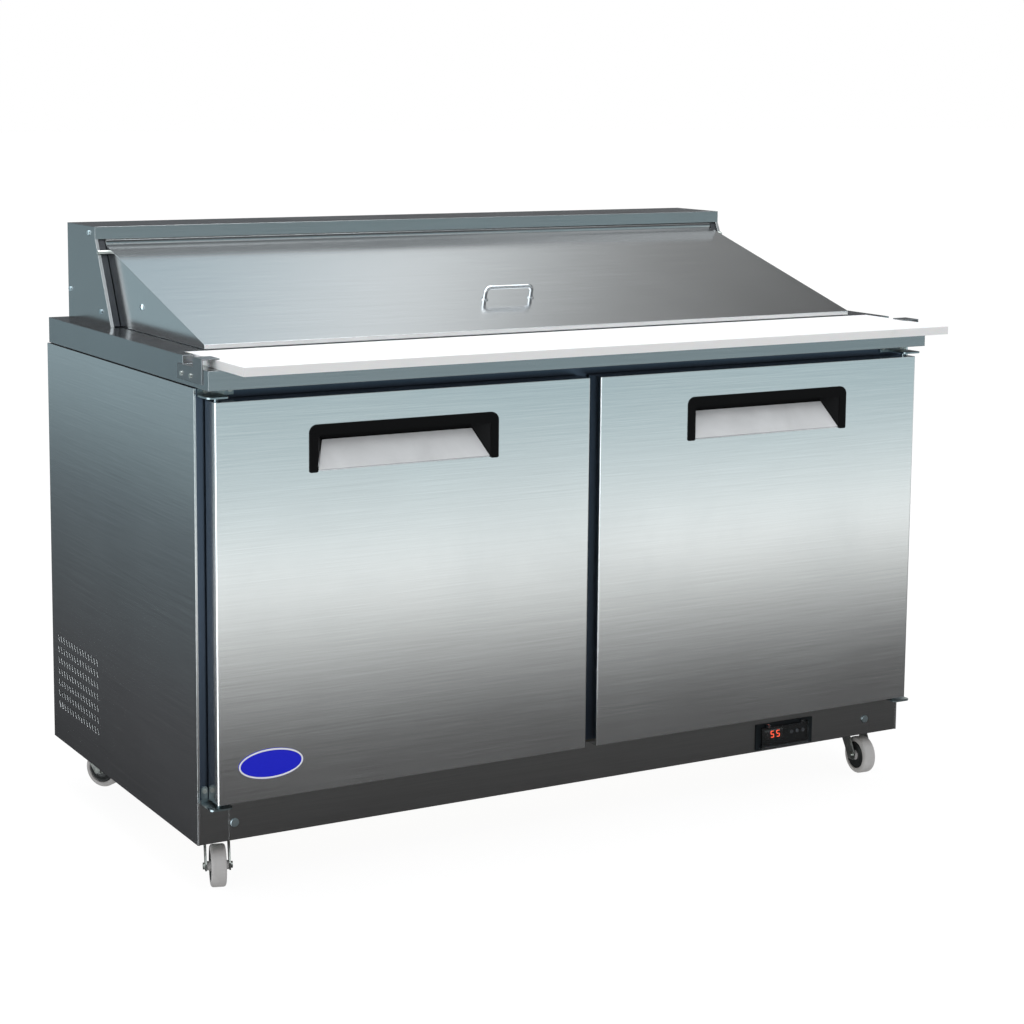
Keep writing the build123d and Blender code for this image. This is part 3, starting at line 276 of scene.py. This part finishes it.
def enamel(name, color, rough=0.18):
    """Printed enamel under a clear dome: tiny orange-peel and fine flakes."""
    s = Shader(name)
    peel = s.noise(220.0, detail=2.0)
    flake = s.noise(1600.0, detail=1.0)
    tone = s.mix(s.remap(flake, 0.4, 0.7, 0.0, 0.35), color, tuple(min(1.0, c * 1.6 + 0.01) for c in color))
    s.set(color=tone, rough=rough, coat=0.6, coat_rough=0.06, normal=s.bump(peel, 0.05, 0.0003))
    return s.material


def painted(name, color, rough=0.38):
    s = Shader(name)
    peel = s.noise(260.0, detail=2.0)
    patch = s.noise(10.0, detail=4.0)
    tone = s.mix(patch, tuple(c * 0.85 for c in color), tuple(min(1.0, c * 1.2) for c in color))
    s.set(color=tone, rough=s.math("ADD", s.remap(patch, 0.3, 0.7, -0.05, 0.07), rough), specular=0.5,
          normal=s.bump(peel, 0.12, 0.0004))
    return s.material


def copper():
    s = Shader("drawn_copper")
    stain = s.noise(22.0, detail=5.0, warp=0.8)
    tone = s.ramp(stain, [(0.3, (0.83, 0.44, 0.27)), (0.6, (0.66, 0.33, 0.20)), (0.85, (0.38, 0.22, 0.16))])
    s.set(color=tone, metal=1.0, rough=s.remap(stain, 0.3, 0.8, 0.24, 0.45),
          normal=s.bump(stain, 0.08, 0.0005))
    return s.material


def glowing(name, color, strength):
    """A lit segment behind a dark lens."""
    s = Shader(name)
    cells = s.noise(1800.0, detail=1.0)
    s.set(color=tuple(c * 0.2 for c in color) + (1.0,), rough=0.35, emission=(*color, 1.0),
          glow=s.remap(cells, 0.3, 0.7, strength * 0.85, strength * 1.1))
    return s.material


STEEL = (0.66, 0.665, 0.67)
MATERIALS = {
    "door": brushed("brushed_door_sheet", STEEL, 0.17, "X"),
    "side": brushed("brushed_side_sheet", STEEL, 0.18, "Y", fold=0.0008),
    "lid": brushed("brushed_lid_sheet", STEEL, 0.17, "X"),
    # worktop: the same brushed stainless, its base colour darkened as painted shade
    "worktop": brushed("brushed_worktop_painted_shade", (0.33, 0.345, 0.355), 0.20, "X", wear=1.6),
    # hood: the same brushed stainless, its base colour darkened as painted shade
    "hood": brushed("brushed_hood_sheet_painted_shade", (0.37, 0.38, 0.385), 0.20, "X"),
    # face frame: brushed stainless with a near-black blue base colour, painted shade and painted reflection
    "frame": brushed("brushed_frame_painted_shade", (0.085, 0.110, 0.150), 0.34, "Z"),
    # kick panel and base frame: the same brushed stainless, its base colour darkened as painted shade
    "kick": brushed("brushed_kick_painted_shade", (0.27, 0.265, 0.265), 0.36, "X", wear=1.8),
    "pan": brushed("drawn_pan_steel", (0.70, 0.71, 0.72), 0.20, "X", wear=0.6),
    "bracket": brushed("brushed_bracket", (0.26, 0.27, 0.28), 0.28, "Z"),
    "rod": brushed("polished_rod", (0.60, 0.62, 0.64), 0.18, "X", wear=0.5),
    "zinc": zinc_plated("zinc_plated_steel"),
    "hinge": zinc_plated("hinge_plate_zinc", (0.30, 0.36, 0.38), 0.30),
    "bolt": zinc_plated("zinc_bolt", (0.52, 0.62, 0.66), 0.28),
    "galvanised": galvanised("galvanised_sheet"),
    "wire": zinc_plated("coated_wire", (0.74, 0.75, 0.76), 0.22),
    "board": board_plastic(),
    "foam": foam(),
    "white": moulded("white_inner_panel", (0.84, 0.86, 0.87), 0.36, 700.0, 0.0002, 0.12, 0.45),
    "stucco": stucco(),
    "gasket": rubber("dark_gasket", (0.030, 0.034, 0.040), 0.55),
    "black": moulded("black_handle_plastic", (0.0035, 0.0035, 0.004), 0.55, specular=0.10),
    "control": moulded("black_controller_plastic", (0.008, 0.012, 0.015), 0.38, 1100.0, specular=0.25),
    "key": moulded("grey_key_plastic", (0.20, 0.21, 0.23), 0.50),
    "clear": clear_plastic(),
    "badge_blue": enamel("badge_blue_enamel", (0.004, 0.010, 0.62)),
    "badge_rim": enamel("badge_pale_rim", (0.88, 0.89, 0.92), 0.30),
    "coil": brushed("aluminium_fins", (0.74, 0.75, 0.76), 0.34, "Z", wear=0.8),
    "copper": copper(),
    "compressor": painted("black_compressor_paint", (0.020, 0.020, 0.022)),
    "motor": painted("grey_motor_paint", (0.12, 0.12, 0.13), 0.45),
    "fan": moulded("black_fan_plastic", (0.022, 0.022, 0.024), 0.40),
    "tread": rubber("grey_tread", (0.54, 0.53, 0.52), 0.50),
    "hub": moulded("black_hub_plastic", (0.020, 0.022, 0.022), 0.42),
    "lens": enamel("dark_display_lens", (0.012, 0.010, 0.012), 0.10),
    "segment": glowing("lit_segment", (1.0, 0.10, 0.04), 2.2),
    # pocket: a steel sheet given a pale plastic colour, a painted reflection standing in for its bright
    # sheen
    "pocket": moulded("pale_pocket_painted_reflection", (0.86, 0.88, 0.89), 0.45, 500.0, 0.0002, 0.12, 0.5),
}


# ---- mesh helpers ---------------------------------------------------------------------------------
def shade(obj, degrees=32.0):
    mesh = obj.data
    mesh.polygons.foreach_set("use_smooth", [True] * len(mesh.polygons))
    mesh.set_sharp_from_angle(angle=math.radians(degrees))
    mesh.update()


def add_object(name, mesh, material):
    obj = bpy.data.objects.new(name, mesh)
    bpy.context.scene.collection.objects.link(obj)
    mesh.materials.clear()
    mesh.materials.append(MATERIALS[material])
    return obj


def from_bmesh(name, bm, material, degrees=32.0):
    bmesh.ops.recalc_face_normals(bm, faces=bm.faces)
    mesh = bpy.data.meshes.new(name)
    bm.to_mesh(mesh)
    bm.free()
    obj = add_object(name, mesh, material)
    shade(obj, degrees)
    return obj


def dress(node, material):
    """A CAD node that keeps its own shape takes a better material."""
    obj = NODES[node]
    obj.data.materials.clear()
    obj.data.materials.append(MATERIALS[material])


def attach(obj, body):
    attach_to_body(obj, body)
    return obj


# ---- carried-over nodes ----------------------------------------------------------------------------
DRESSED = {
    "base_frame": "kick", "rear_panel": "galvanised", "condensate_pan": "galvanised",
    "inner_liner": "stucco", "evaporator_cover": "stucco", "insulation": "foam",
    "divider_bars": "pan", "lid_hinge_pins": "zinc", "caster_plates": "zinc",
    "shelf_left": "wire", "shelf_right": "wire", "shelf_supports": "galvanised",
    "evaporator_coil": "coil", "condenser_coil": "coil", "fan_motors": "motor",
    "compressor": "compressor", "refrigerant_tubes": "copper", "power_inlet": "control",
    "evaporator_fan": "fan", "condenser_fan": "fan", "controller_body": "control",
    "door_left_skin": "door", "door_right_skin": "door",
    "door_left_liner": "white", "door_right_liner": "white",
    "door_left_gasket": "gasket", "door_right_gasket": "gasket",
    "door_left_handle": "black", "door_right_handle": "black", "door_badge": "badge_blue",
    "side_panel_left": "side", "side_panel_right": "side", "face_frame": "frame", "kick_panel": "kick",
    "worktop": "worktop", "hood_box": "hood", "lid_skin": "lid", "lid_liner": "white", "lid_handle": "rod",
    "cutting_board": "board", "board_brackets": "bracket", "bracket_screws": "zinc", "panel_bolts": "bolt",
    "door_hinge_brackets": "hinge", "controller_bezel": "control", "controller_cover": "clear",
    "button_set": "key", "button_down": "key", "button_up": "key",
    "pans_front_row": "pan", "pans_middle_row": "pan", "pans_rear_row": "pan",
}
for corner in ("front_left", "front_right", "rear_left", "rear_right"):
    DRESSED[f"caster_{corner}_fork"] = "zinc"
    DRESSED[f"caster_{corner}_wheel"] = "tread"
for node, material in DRESSED.items():
    dress(node, material)


# ---- details --------------------------------------------------------------------------------------
FACE_Y = -305.5             # front face of the body; depths below are measured back from it


def place(x, depth, z):
    return Vector((x * MM, (FACE_Y + depth) * MM, z * MM))


def bridge(bm, rings):
    """Faces between each closed ring of corners and the next."""
    for low, high in zip(rings, rings[1:]):
        for index in range(len(low)):
            after = (index + 1) % len(low)
            bm.faces.new((low[index], low[after], high[after], high[index]))


def turned(name, profile, centre, axis, material, segments=48):
    """Lathe piece: (radius, height) profile in mm, turned about an axis through the centre."""
    bm = bmesh.new()
    turn = Vector((0, 0, 1)).rotation_difference(Vector(axis)).to_matrix()
    rings = []
    for radius, height in profile:
        ring = []
        for index in range(segments):
            angle = 2 * math.pi * index / segments
            spot = Vector((radius * math.cos(angle), radius * math.sin(angle), height)) * MM
            ring.append(bm.verts.new(centre + turn @ spot))
        rings.append(ring)
    bridge(bm, rings)
    bm.faces.new(rings[0][::-1])
    bm.faces.new(rings[-1])
    return from_bmesh(name, bm, material)


def plate(name, x, depth, z, material, edge=0.6):
    """Flat piece between limits in mm, with its corners and edges rounded."""
    bm = bmesh.new()
    low, high = place(x[0], depth[0], z[0]), place(x[1], depth[1], z[1])
    bmesh.ops.create_cube(bm, size=1.0, matrix=Matrix.Translation((low + high) / 2)
                          @ Matrix.Diagonal((*(high - low), 1.0)))
    bmesh.ops.bevel(bm, geom=list(bm.edges), offset=edge * MM, segments=2, affect="EDGES", profile=0.5)
    return from_bmesh(name, bm, material)


BADGE_X = -652.0
BADGE_Z = 236.0
BADGE_RIM = (60.4, 26.2)            # half width and half height
BADGE_RIM_DEPTH = -48.5 - 1.6
BADGE_FACE_DEPTH = -48.5 - 0.4
BADGE_STEPS = 96


def badge_ring(name, inward, width, front):
    """Oval ring on the badge, a little raised, this far inside its edge."""
    bm = bmesh.new()
    rings = []
    for inset, lift in ((0.0, 0.0), (0.3, 0.35), (width - 0.3, 0.35), (width, 0.0)):
        ring = []
        half_x, half_z = BADGE_RIM[0] - inward - inset, BADGE_RIM[1] - inward - inset
        for index in range(BADGE_STEPS):
            angle = 2 * math.pi * index / BADGE_STEPS
            x, z = BADGE_X + half_x * math.cos(angle), BADGE_Z + half_z * math.sin(angle)
            ring.append(bm.verts.new(place(x, front - lift, z)))
        rings.append(ring)
    bridge(bm, rings)
    attach(from_bmesh(name, bm, "badge_rim"), "door_left")


def caster_discs():
    """Black ringed discs on both sides of each wheel's hub."""
    for corner in ("front_left", "front_right", "rear_left", "rear_right"):
        joint = JOINTS[f"caster_{corner}_roll"]
        centre = Vector(joint["pos_m"])
        axis = Vector(joint["axis"])
        for side, sign in (("outer", -1), ("inner", 1)):
            profile = [(27.0, 11.3), (27.0, 12.6), (25.5, 13.3), (22.5, 12.7), (20.5, 13.3),
                       (13.5, 13.3), (12.0, 12.5), (9.3, 12.5), (9.0, 13.0)]
            disc = turned(f"caster_{corner}_disc_{side}", profile, centre, axis * sign, "hub")
            attach(disc, f"caster_{corner}_wheel")


CHEEK_X = 703.0
CHEEK_BOLT = (412.0, 988.0)         # depth and height


def lid_bolt():
    """Round-headed bolt through each lid cheek."""
    for side, sign in (("left", -1), ("right", 1)):
        profile = [(6.5, -0.5), (6.5, 1.0), (5.6, 2.2), (3.6, 3.0), (1.0, 3.3)]
        centre = place(sign * CHEEK_X, *CHEEK_BOLT)
        bolt = turned(f"lid_cheek_bolt_{side}", profile, centre, (sign, 0, 0), "bolt")
        attach(bolt, "lid")


LENS = ((438.0, 484.0), (2.8, 4.2), (112.0, 133.0))
DIGIT_STARTS = (453.0, 467.0)
SEGMENT_DEPTH = (2.3, 3.0)
SEGMENTS = (                        # (x from the digit's left edge), (z)
    ((1.0, 7.0), (128.0, 129.2)),
    ((1.0, 7.0), (121.9, 123.1)),
    ((1.0, 7.0), (115.8, 117.0)),
    ((0.0, 1.2), (123.2, 128.8)),
    ((6.8, 8.0), (116.2, 121.8)),
)


def controller_face():
    """Dark lens with two lit digits."""
    attach(plate("display_lens", *LENS, "lens"), "cabinet")
    for digit, start in enumerate(DIGIT_STARTS):
        for index, (x, z) in enumerate(SEGMENTS):
            name = f"digit_{digit}_bar_{index}"
            bar = plate(name, (start + x[0], start + x[1]), SEGMENT_DEPTH, z, "segment", 0.15)
            attach(bar, "cabinet")


SCREEN_X = 766.0
SCREEN_DEPTH = (498.0, 745.0)
SCREEN_Z = (130.0, 340.0)
SCREEN_RIBS = 24
SCREEN_LIFT = 0.9


def louvre_shade_screen():
    """Black screen behind the side louvres, with a raised weave; its black is painted shade that makes the
    slots read dark.
    """
    for side, sign in (("left", -1), ("right", 1)):
        bm = bmesh.new()
        rows = []
        for index in range(SCREEN_RIBS + 1):
            x = sign * (SCREEN_X - SCREEN_LIFT * (index % 2))
            z = SCREEN_Z[0] + (SCREEN_Z[1] - SCREEN_Z[0]) * index / SCREEN_RIBS
            rows.append([bm.verts.new(place(x, depth, z)) for depth in SCREEN_DEPTH])
        for low, high in zip(rows, rows[1:]):
            bm.faces.new((low[0], low[1], high[1], high[0]))
        attach(from_bmesh(f"louvre_shade_screen_{side}", bm, "hub", 10.0), "cabinet")


def prism(name, outline, x, material, edge=0.5):
    """Straight piece along X with a (depth, z) outline in mm and slightly rounded edges."""
    bm = bmesh.new()
    ends = [[bm.verts.new(place(at, depth, z)) for depth, z in outline] for at in x]
    bm.faces.new(ends[0][::-1])
    bm.faces.new(ends[1])
    bridge(bm, ends)
    bmesh.ops.recalc_face_normals(bm, faces=bm.faces)
    bmesh.ops.bevel(bm, geom=list(bm.edges), offset=edge * MM, segments=2, affect="EDGES", profile=0.5)
    return from_bmesh(name, bm, material)


def lid_tail():
    """Raised lip across the lid that closes the slot under the hood's front band; it takes the hood's
    darkened painted-shade colour so it reads as part of the band.
    """
    outline = [(602.6, 1089.6), (612.0, 1092.5), (612.0, 1100.6), (602.6, 1100.6)]
    attach(prism("lid_tail_lip", outline, (-702.0, 702.0), "hood"), "lid")


def hood_shade_seals():
    """Dark gasket strip between each hood side and the lid's cheek, along the slanted edge; its dark colour
    stands in for the shadow line along this seam, as painted shade.
    """
    for side, x in (("left", (-717.2, -704.0)), ("right", (704.0, 717.2))):
        outline = [(526.0, 942.0), (606.0, 1101.0), (613.0, 1101.0), (533.0, 942.0)]
        attach(prism(f"hood_shade_seal_{side}", outline, x, "gasket"), "cabinet")


SHEET_LIFTS = (0.7, 1.2)            # underside and top, above the pocket's floor
SHEET_CORNERS = ((222.5, -47.6, 741.4), (559.5, -47.6, 741.4), (539.0, -17.4, 788.6), (243.0, -17.4, 788.6))


def pocket_sheets():
    """Satin sheet on the sloping floor of each handle pocket, narrower towards the back; its pale plastic
    colour is a painted reflection standing in for the steel's bright sheen.
    """
    for side, sign in (("left", -1), ("right", 1)):
        bm = bmesh.new()
        faces = []
        for lift in SHEET_LIFTS:
            faces.append([bm.verts.new(place(sign * x, depth - lift * 0.8, z + lift * 0.6))
                          for x, depth, z in SHEET_CORNERS])
        bm.faces.new(faces[0][::-1])
        bm.faces.new(faces[1])
        bridge(bm, faces)
        bmesh.ops.recalc_face_normals(bm, faces=bm.faces)
        bmesh.ops.bevel(bm, geom=list(bm.edges), offset=0.15 * MM, segments=1, affect="EDGES", profile=0.5)
        attach(from_bmesh(f"pocket_sheet_{side}", bm, "pocket"), f"door_{side}")


pocket_sheets()
badge_ring("badge_rim", 0.0, 3.0, BADGE_RIM_DEPTH)
badge_ring("badge_line", 4.6, 0.9, BADGE_FACE_DEPTH)
caster_discs()
lid_tail()
hood_shade_seals()
lid_bolt()
controller_face()
louvre_shade_screen()


# ---- stage ----------------------------------------------------------------------------------------
EDGE_LIGHT = (3.2, 3.4, 3.5)        # seen only in reflections: it draws the bright lines on folded edges
EDGE_LIGHT_HEADING = 1.65           # radians to the left of straight behind
EDGE_LIGHT_HALF = 0.75
EDGE_LIGHT_FADE = 0.2
BODY_FRONT = -0.354                 # front of the doors, m
BODY_SIDE = 0.765                   # side of the body, m
CORNER_Y = -0.305
FRONT_SPAN = 6.0                    # m of floor that the front ramp covers
SIDE_SPAN = 3.0


def floor():
    """Pale studio floor. In reflections it falls off towards the table, as under a large soft light."""
    bm = bmesh.new()
    bmesh.ops.create_grid(bm, x_segments=8, y_segments=8, size=60.0)
    mesh = bpy.data.meshes.new("studio_floor")
    bm.to_mesh(mesh)
    bm.free()
    obj = bpy.data.objects.new("studio_floor", mesh)
    bpy.context.scene.collection.objects.link(obj)
    s = Shader("studio_floor")
    speck = s.noise(3.0, detail=3.0)
    s.set(color=s.mix(speck, (0.10, 0.10, 0.10), (0.11, 0.11, 0.11)), rough=0.95, specular=0.0,
          emission=(1.0, 1.0, 1.0, 1.0))
    seen = s.node("ShaderNodeLightPath").outputs["Is Camera Ray"]
    s.set(glow=s.remap(seen, 0.0, 1.0, 0.50, 0.94))
    front = s.math("SUBTRACT", BODY_FRONT, s.axis("Y"))
    side = s.math("SUBTRACT", s.math("ABSOLUTE", s.axis("X")), BODY_SIDE)
    front_glow = s.ramp(s.math("DIVIDE", front, FRONT_SPAN), [
        (0.00, (0.10, 0.10, 0.10)), (0.125, (0.14, 0.14, 0.14)), (0.185, (0.33, 0.335, 0.335)),
        (0.255, (0.66, 0.675, 0.66)), (0.335, (1.16, 1.19, 1.17)), (0.385, (1.42, 1.47, 1.45)),
        (0.50, (1.02, 1.13, 1.135)), (0.63, (0.76, 0.90, 0.93)), (0.92, (0.50, 0.665, 0.71))])
    side_glow = s.ramp(s.math("DIVIDE", side, SIDE_SPAN), [
        (0.00, (0.045, 0.046, 0.048)), (0.13, (0.08, 0.083, 0.088)), (0.27, (0.11, 0.13, 0.14)),
        (0.42, (0.145, 0.18, 0.20)), (0.58, (0.24, 0.315, 0.34)), (0.78, (0.34, 0.45, 0.49))])
    chosen = s.mix(s.math("GREATER_THAN", front, 0.0), side_glow, front_glow)
    from_corner = (s.math("ADD", s.axis("X"), BODY_SIDE), s.math("SUBTRACT", s.axis("Y"), CORNER_Y))
    heading = s.math("ARCTAN2", *from_corner)
    aside = s.math("ABSOLUTE", s.math("ADD", heading, EDGE_LIGHT_HEADING))
    near = s.remap(aside, EDGE_LIGHT_HALF, EDGE_LIGHT_HALF - EDGE_LIGHT_FADE, 0.0, 1.0)
    chosen = s.mix(near, chosen, EDGE_LIGHT)
    glow = s.node("ShaderNodeEmission")
    s.feed(glow.inputs["Color"], chosen)
    path = s.node("ShaderNodeLightPath")
    blend = s.node("ShaderNodeMixShader")
    s.feed(blend.inputs[0], path.outputs["Is Glossy Ray"])
    s.feed(blend.inputs[1], s.bsdf.outputs[0])
    s.feed(blend.inputs[2], glow.outputs[0])
    s.feed(s.tree.nodes["Material Output"].inputs["Surface"], blend.outputs[0])
    mesh.materials.append(s.material)


def studio_world():
    """Near-white surround; in reflections, a soft upright light panel with darker sides."""
    world = bpy.data.worlds.new("studio")
    bpy.context.scene.world = world
    world.use_nodes = True
    tree = world.node_tree
    nodes, links = tree.nodes, tree.links
    nodes.clear()
    out = nodes.new("ShaderNodeOutputWorld")
    plain = nodes.new("ShaderNodeBackground")
    plain.inputs["Color"].default_value = (0.97, 0.98, 1.0, 1.0)
    plain.inputs["Strength"].default_value = 0.80
    mirror = nodes.new("ShaderNodeBackground")
    coord = nodes.new("ShaderNodeTexCoord")
    split = nodes.new("ShaderNodeSeparateXYZ")
    links.new(coord.outputs["Generated"], split.inputs[0])
    turn = nodes.new("ShaderNodeMath")
    turn.operation = "ARCTAN2"
    links.new(split.outputs["X"], turn.inputs[0])
    links.new(split.outputs["Y"], turn.inputs[1])
    place = nodes.new("ShaderNodeMapRange")
    place.inputs["From Min"].default_value = -math.pi
    place.inputs["From Max"].default_value = math.pi
    links.new(turn.outputs[0], place.inputs["Value"])
    ramp = nodes.new("ShaderNodeValToRGB")
    stops = [(-180.0, (0.55, 0.60, 0.62)), (-90.0, (0.75, 0.80, 0.82)), (-20.0, (0.60, 0.70, 0.74)),
             (14.0, (0.40, 0.52, 0.57)), (26.0, (0.50, 0.62, 0.68)), (33.0, (0.92, 0.97, 0.99)),
             (39.0, (0.34, 0.35, 0.35)), (46.0, (0.11, 0.11, 0.11)), (80.0, (0.12, 0.12, 0.12)),
             (130.0, (0.70, 0.74, 0.76)), (180.0, (0.55, 0.60, 0.62))]
    points = ramp.color_ramp.elements
    while len(points) < len(stops):
        points.new(1.0)
    for point, (degrees, color) in zip(points, stops):
        point.position = (degrees + 180.0) / 360.0
        point.color = (*color, 1.0)
    links.new(place.outputs["Result"], ramp.inputs[0])
    def calc(operation, first, second=0.0):
        item = nodes.new("ShaderNodeMath")
        item.operation = operation
        for index, value in enumerate((first, second)):
            if isinstance(value, bpy.types.NodeSocket):
                links.new(value, item.inputs[index])
            else:
                item.inputs[index].default_value = value
        return item.outputs[0]

    def fade(value, low, high):
        item = nodes.new("ShaderNodeMapRange")
        item.inputs["From Min"].default_value = low
        item.inputs["From Max"].default_value = high
        links.new(value, item.inputs["Value"])
        return item.outputs["Result"]

    aside = calc("ABSOLUTE", calc("ADD", turn.outputs[0], EDGE_LIGHT_HEADING))
    left = fade(aside, EDGE_LIGHT_HALF, EDGE_LIGHT_HALF - EDGE_LIGHT_FADE)
    overhead = fade(split.outputs["Z"], 0.72, 0.85)
    horizon = nodes.new("ShaderNodeMix")
    horizon.data_type = "RGBA"
    links.new(fade(split.outputs["Z"], 0.20, 0.42), horizon.inputs[0])
    horizon.inputs[6].default_value = (0.10, 0.10, 0.105, 1.0)
    links.new(ramp.outputs["Color"], horizon.inputs[7])
    lit = nodes.new("ShaderNodeMix")
    lit.data_type = "RGBA"
    links.new(calc("MAXIMUM", left, overhead), lit.inputs[0])
    links.new(horizon.outputs[2], lit.inputs[6])
    lit.inputs[7].default_value = (*EDGE_LIGHT, 1.0)
    links.new(lit.outputs[2], mirror.inputs["Color"])
    white = nodes.new("ShaderNodeBackground")
    white.inputs["Color"].default_value = (1.0, 1.0, 1.0, 1.0)
    path = nodes.new("ShaderNodeLightPath")
    seen = nodes.new("ShaderNodeMixShader")
    links.new(path.outputs["Is Camera Ray"], seen.inputs[0])
    links.new(plain.outputs[0], seen.inputs[1])
    links.new(white.outputs[0], seen.inputs[2])
    blend = nodes.new("ShaderNodeMixShader")
    links.new(path.outputs["Is Glossy Ray"], blend.inputs[0])
    links.new(seen.outputs[0], blend.inputs[1])
    links.new(mirror.outputs[0], blend.inputs[2])
    links.new(blend.outputs[0], out.inputs["Surface"])


def soft_light(name, place, target, size, watts):
    light = bpy.data.lights.new(name, "AREA")
    light.shape = "RECTANGLE"
    light.size, light.size_y = size
    light.energy = watts
    light.specular_factor = 0.0
    obj = bpy.data.objects.new(name, light)
    bpy.context.scene.collection.objects.link(obj)
    obj.location = place
    direction = Vector(target) - Vector(place)
    obj.rotation_euler = direction.to_track_quat("-Z", "Y").to_euler()


def camera():
    """Eye height and framing of a three-quarter view from the left."""
    data = bpy.data.cameras.new("view")
    data.lens = 79.22
    data.sensor_width = 36.0
    data.shift_x = 0.0288
    data.shift_y = -0.1215
    data.clip_end = 200.0
    obj = bpy.data.objects.new("view", data)
    bpy.context.scene.collection.objects.link(obj)
    yaw, pitch, roll = math.radians(29.28), math.radians(-7.58), math.radians(0.39)
    forward = Vector((math.sin(yaw) * math.cos(pitch), math.cos(yaw) * math.cos(pitch), math.sin(pitch)))
    right = Vector((math.cos(yaw), -math.sin(yaw), 0.0))
    up = right.cross(forward)
    right, up = (right * math.cos(roll) + up * math.sin(roll), up * math.cos(roll) - right * math.sin(roll))
    turn = Matrix((right, up, -forward)).transposed().to_4x4()
    obj.matrix_world = Matrix.Translation((-2.1815, -3.8196, 1.3944)) @ turn
    bpy.context.scene.camera = obj


floor()
studio_world()
soft_light("key", (-2.6, -3.2, 3.6), (0.0, 0.0, 0.8), (2.4, 2.4), 14.0)
soft_light("fill", (3.2, -2.4, 2.6), (0.0, 0.0, 0.6), (2.0, 2.0), 6.0)
soft_light("top", (0.0, 0.4, 4.2), (0.0, 0.0, 0.9), (3.0, 2.0), 60.0)
camera()
bpy.context.scene.view_settings.view_transform = "Standard"
